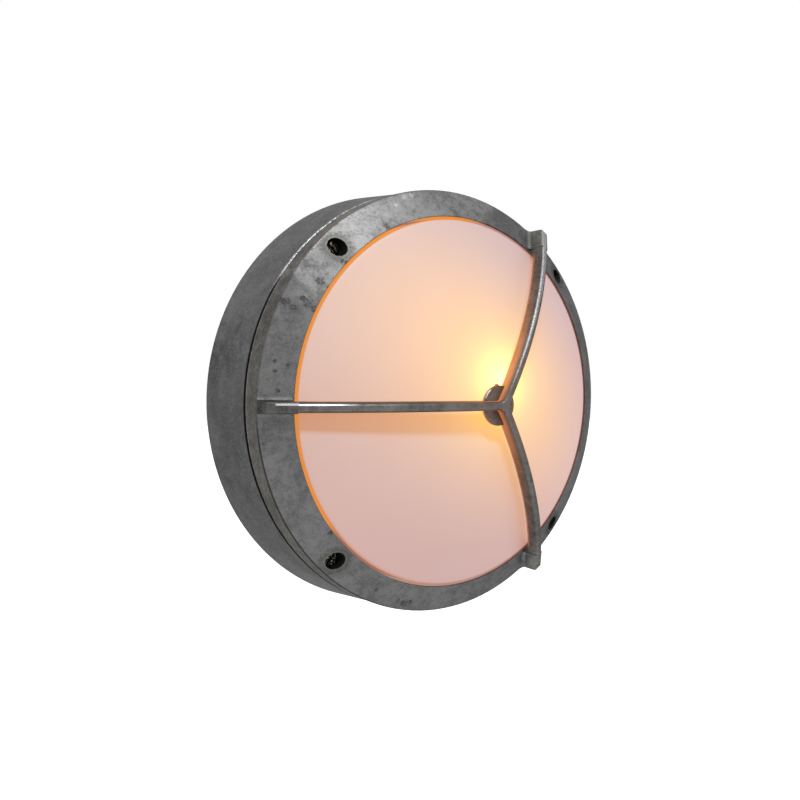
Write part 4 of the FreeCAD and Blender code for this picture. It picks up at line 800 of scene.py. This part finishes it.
# %% The glass's rim and body
CORNER_START = 110.7
left_side = sector(across, upward, radius, 153, 65)
corner = rise(radius, CORNER_START, CORNER_START + 0.4) * left_side
side_wall = rise(radius, GLASS_SIDE - 0.10, GLASS_SIDE - 0.04)
rim_zone = largest(corner, side_wall)
rim_light = blend(left_side, grey(0.28, 0.11, 0.08), RIM_ORANGE)
cloud = speckle(spot, 0.03, detail=3)
body = blend(cloud, grey(0.070, 0.190, 0.27), grey(0.080, 0.210, 0.30))
feed(opal,
     Base_Color=blend(rim_zone, body, grey(0.05, 0.04, 0.02)),
     Emission_Color=blend(rim_zone, lit, rim_light),
     Roughness=0.38 + speckle(spot, 0.012, detail=3) * 0.12)
print("the opal's finish has", len(opal.node_tree.nodes), "nodes")

# %% The dome
dome = turned("opal_dome", glass_line, 192, opal)
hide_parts("glass_dome")

# %% [markdown]
# ## Everything inside
#
# The parts behind the glass keep their CAD shapes, and get the finishes they have in real lights:
# brass and zinc-plated steel, glazed porcelain, black rubber, coloured leads and a frosted lamp.
# They hardly show, so they need no marks of their own. Two recipes are enough, one for metal and
# one for everything else: each takes two colours, a gloss and the size of its grain or clouds.

# %% Finishes of the inner parts
def plain_metal(name, dark, bright, roughness, grain):
    """Turned or pressed metal with cloudy tarnish and fine grain."""
    material, start = finish(name, Metallic=1.0)
    spot = object_spot(start)
    tarnish = rise(speckle(spot, 0.004, detail=5), 0.35, 0.65)
    grain_wire = speckle(spot, grain, detail=2)
    return feed(material,
                Base_Color=blend(tarnish, grey(*dark), grey(*bright)),
                Roughness=roughness + tarnish * -0.12 + grain_wire * 0.1,
                Normal=bump(grain_wire, 0.00008, 0.6))


def plain_body(name, dark, bright, roughness, patch, **fixed):
    """Moulded, glazed or rubber material with soft colour clouds and a fine skin."""
    material, start = finish(name, **fixed)
    spot = object_spot(start)
    clouds = speckle(spot, patch, detail=4)
    skin = speckle(spot, patch / 12, detail=2)
    return feed(material,
                Base_Color=blend(rise(clouds, 0.3, 0.7), grey(*dark), grey(*bright)),
                Roughness=roughness + clouds * 0.1,
                Normal=bump(skin, 0.00004, 0.5))


print("two kinds of inner finish are ready")

# %% A finish for each slot
FINISHES = {
    "zinc_steel": plain_metal(
        "zinc_plated_steel", (0.42, 0.42, 0.39), (0.6, 0.6, 0.58), 0.42, 0.0006),
    "brass": plain_metal(
        "dull_brass", (0.33, 0.24, 0.10), (0.60, 0.46, 0.22), 0.42, 0.0005),
    "tinned_copper": plain_metal(
        "tinned_copper", (0.5, 0.48, 0.45), (0.68, 0.66, 0.62), 0.35, 0.0004),
    "rubber": plain_body(
        "black_rubber", (0.018, 0.018, 0.018), (0.04, 0.04, 0.038), 0.65, 0.006),
    "porcelain": plain_body(
        "glazed_porcelain", (0.70, 0.68, 0.62), (0.80, 0.79, 0.75), 0.12, 0.01, Coat_Weight=0.6),
    "frosted_lamp": plain_body(
        "frosted_lamp", (0.80, 0.76, 0.70), (0.88, 0.85, 0.80), 0.4, 0.02,
        Emission_Strength=1.0),
    "block_plastic": plain_body(
        "block_plastic", (0.62, 0.60, 0.54), (0.72, 0.70, 0.65), 0.45, 0.008),
    "brown_insulation": plain_body(
        "brown_insulation", (0.10, 0.04, 0.02), (0.15, 0.065, 0.03), 0.35, 0.004),
    "blue_insulation": plain_body(
        "blue_insulation", (0.02, 0.08, 0.28), (0.04, 0.12, 0.36), 0.35, 0.004),
    "green_insulation": plain_body(
        "green_insulation", (0.06, 0.26, 0.05), (0.10, 0.34, 0.08), 0.35, 0.004),
}
print(len(FINISHES), "finishes for the slots")

# %% [markdown]
# ## Screw heads and the lit seal
#
# The four cover screws sit deep in their holes. Their brass is nearly black, and where a
# screwdriver slipped it has bright flecks, which are also painted highlights.
# The rubber seal shows as a thin line at the bottom of the gap round the glass. There it is lit by
# the glass, which the formula of the glow doesn't do, so it gets a faint light of its own.

# %% Two finishes for single nodes
def dark_brass():
    """Old screw heads: nearly black, with a few bright flecks of brass that are painted highlights.
    """
    material, start = finish("dark_brass", Metallic=1.0)
    grain = speckle(object_spot(start), 0.0011, detail=3, rough=0.7)
    # Bright flecks of brass, which are also painted highlights.
    glints_and_scratches = rise(grain, 0.55, 0.62)
    return feed(material,
                Base_Color=blend(glints_and_scratches, grey(0.020, 0.018, 0.013), grey(0.55, 0.48, 0.36)),
                Roughness=0.6 - glints_and_scratches * 0.35,
                Normal=bump(grain, 0.0003, 0.8))


SPECIAL = {
    "cover_screws": dark_brass(),
    "glass_seal": plain_body("lit_rubber", (0.03, 0.02, 0.02), (0.05, 0.03, 0.03), 0.65, 0.006,
                             Emission_Color=grey(0.36, 0.18, 0.14), Emission_Strength=1.0),
}
print("single nodes with a finish of their own:", list(SPECIAL))

# %% The inner parts dressed
slots = {part["node"]: part["material_slot"] for part in frame["record"]["subparts"]}
dressed = 0
for node, thing in nodes.items():
    if slots[node] in FINISHES and not thing.hide_render:
        thing.data.materials.clear()
        thing.data.materials.append(SPECIAL.get(node) or FINISHES[slots[node]])
        dressed += 1
print(dressed, "inner parts dressed")

# %% [markdown]
# ## The end
#
# The dressed parts must fill the same box as the CAD model, so that the part fits where the CAD

# %% The end
print("the scene is set")
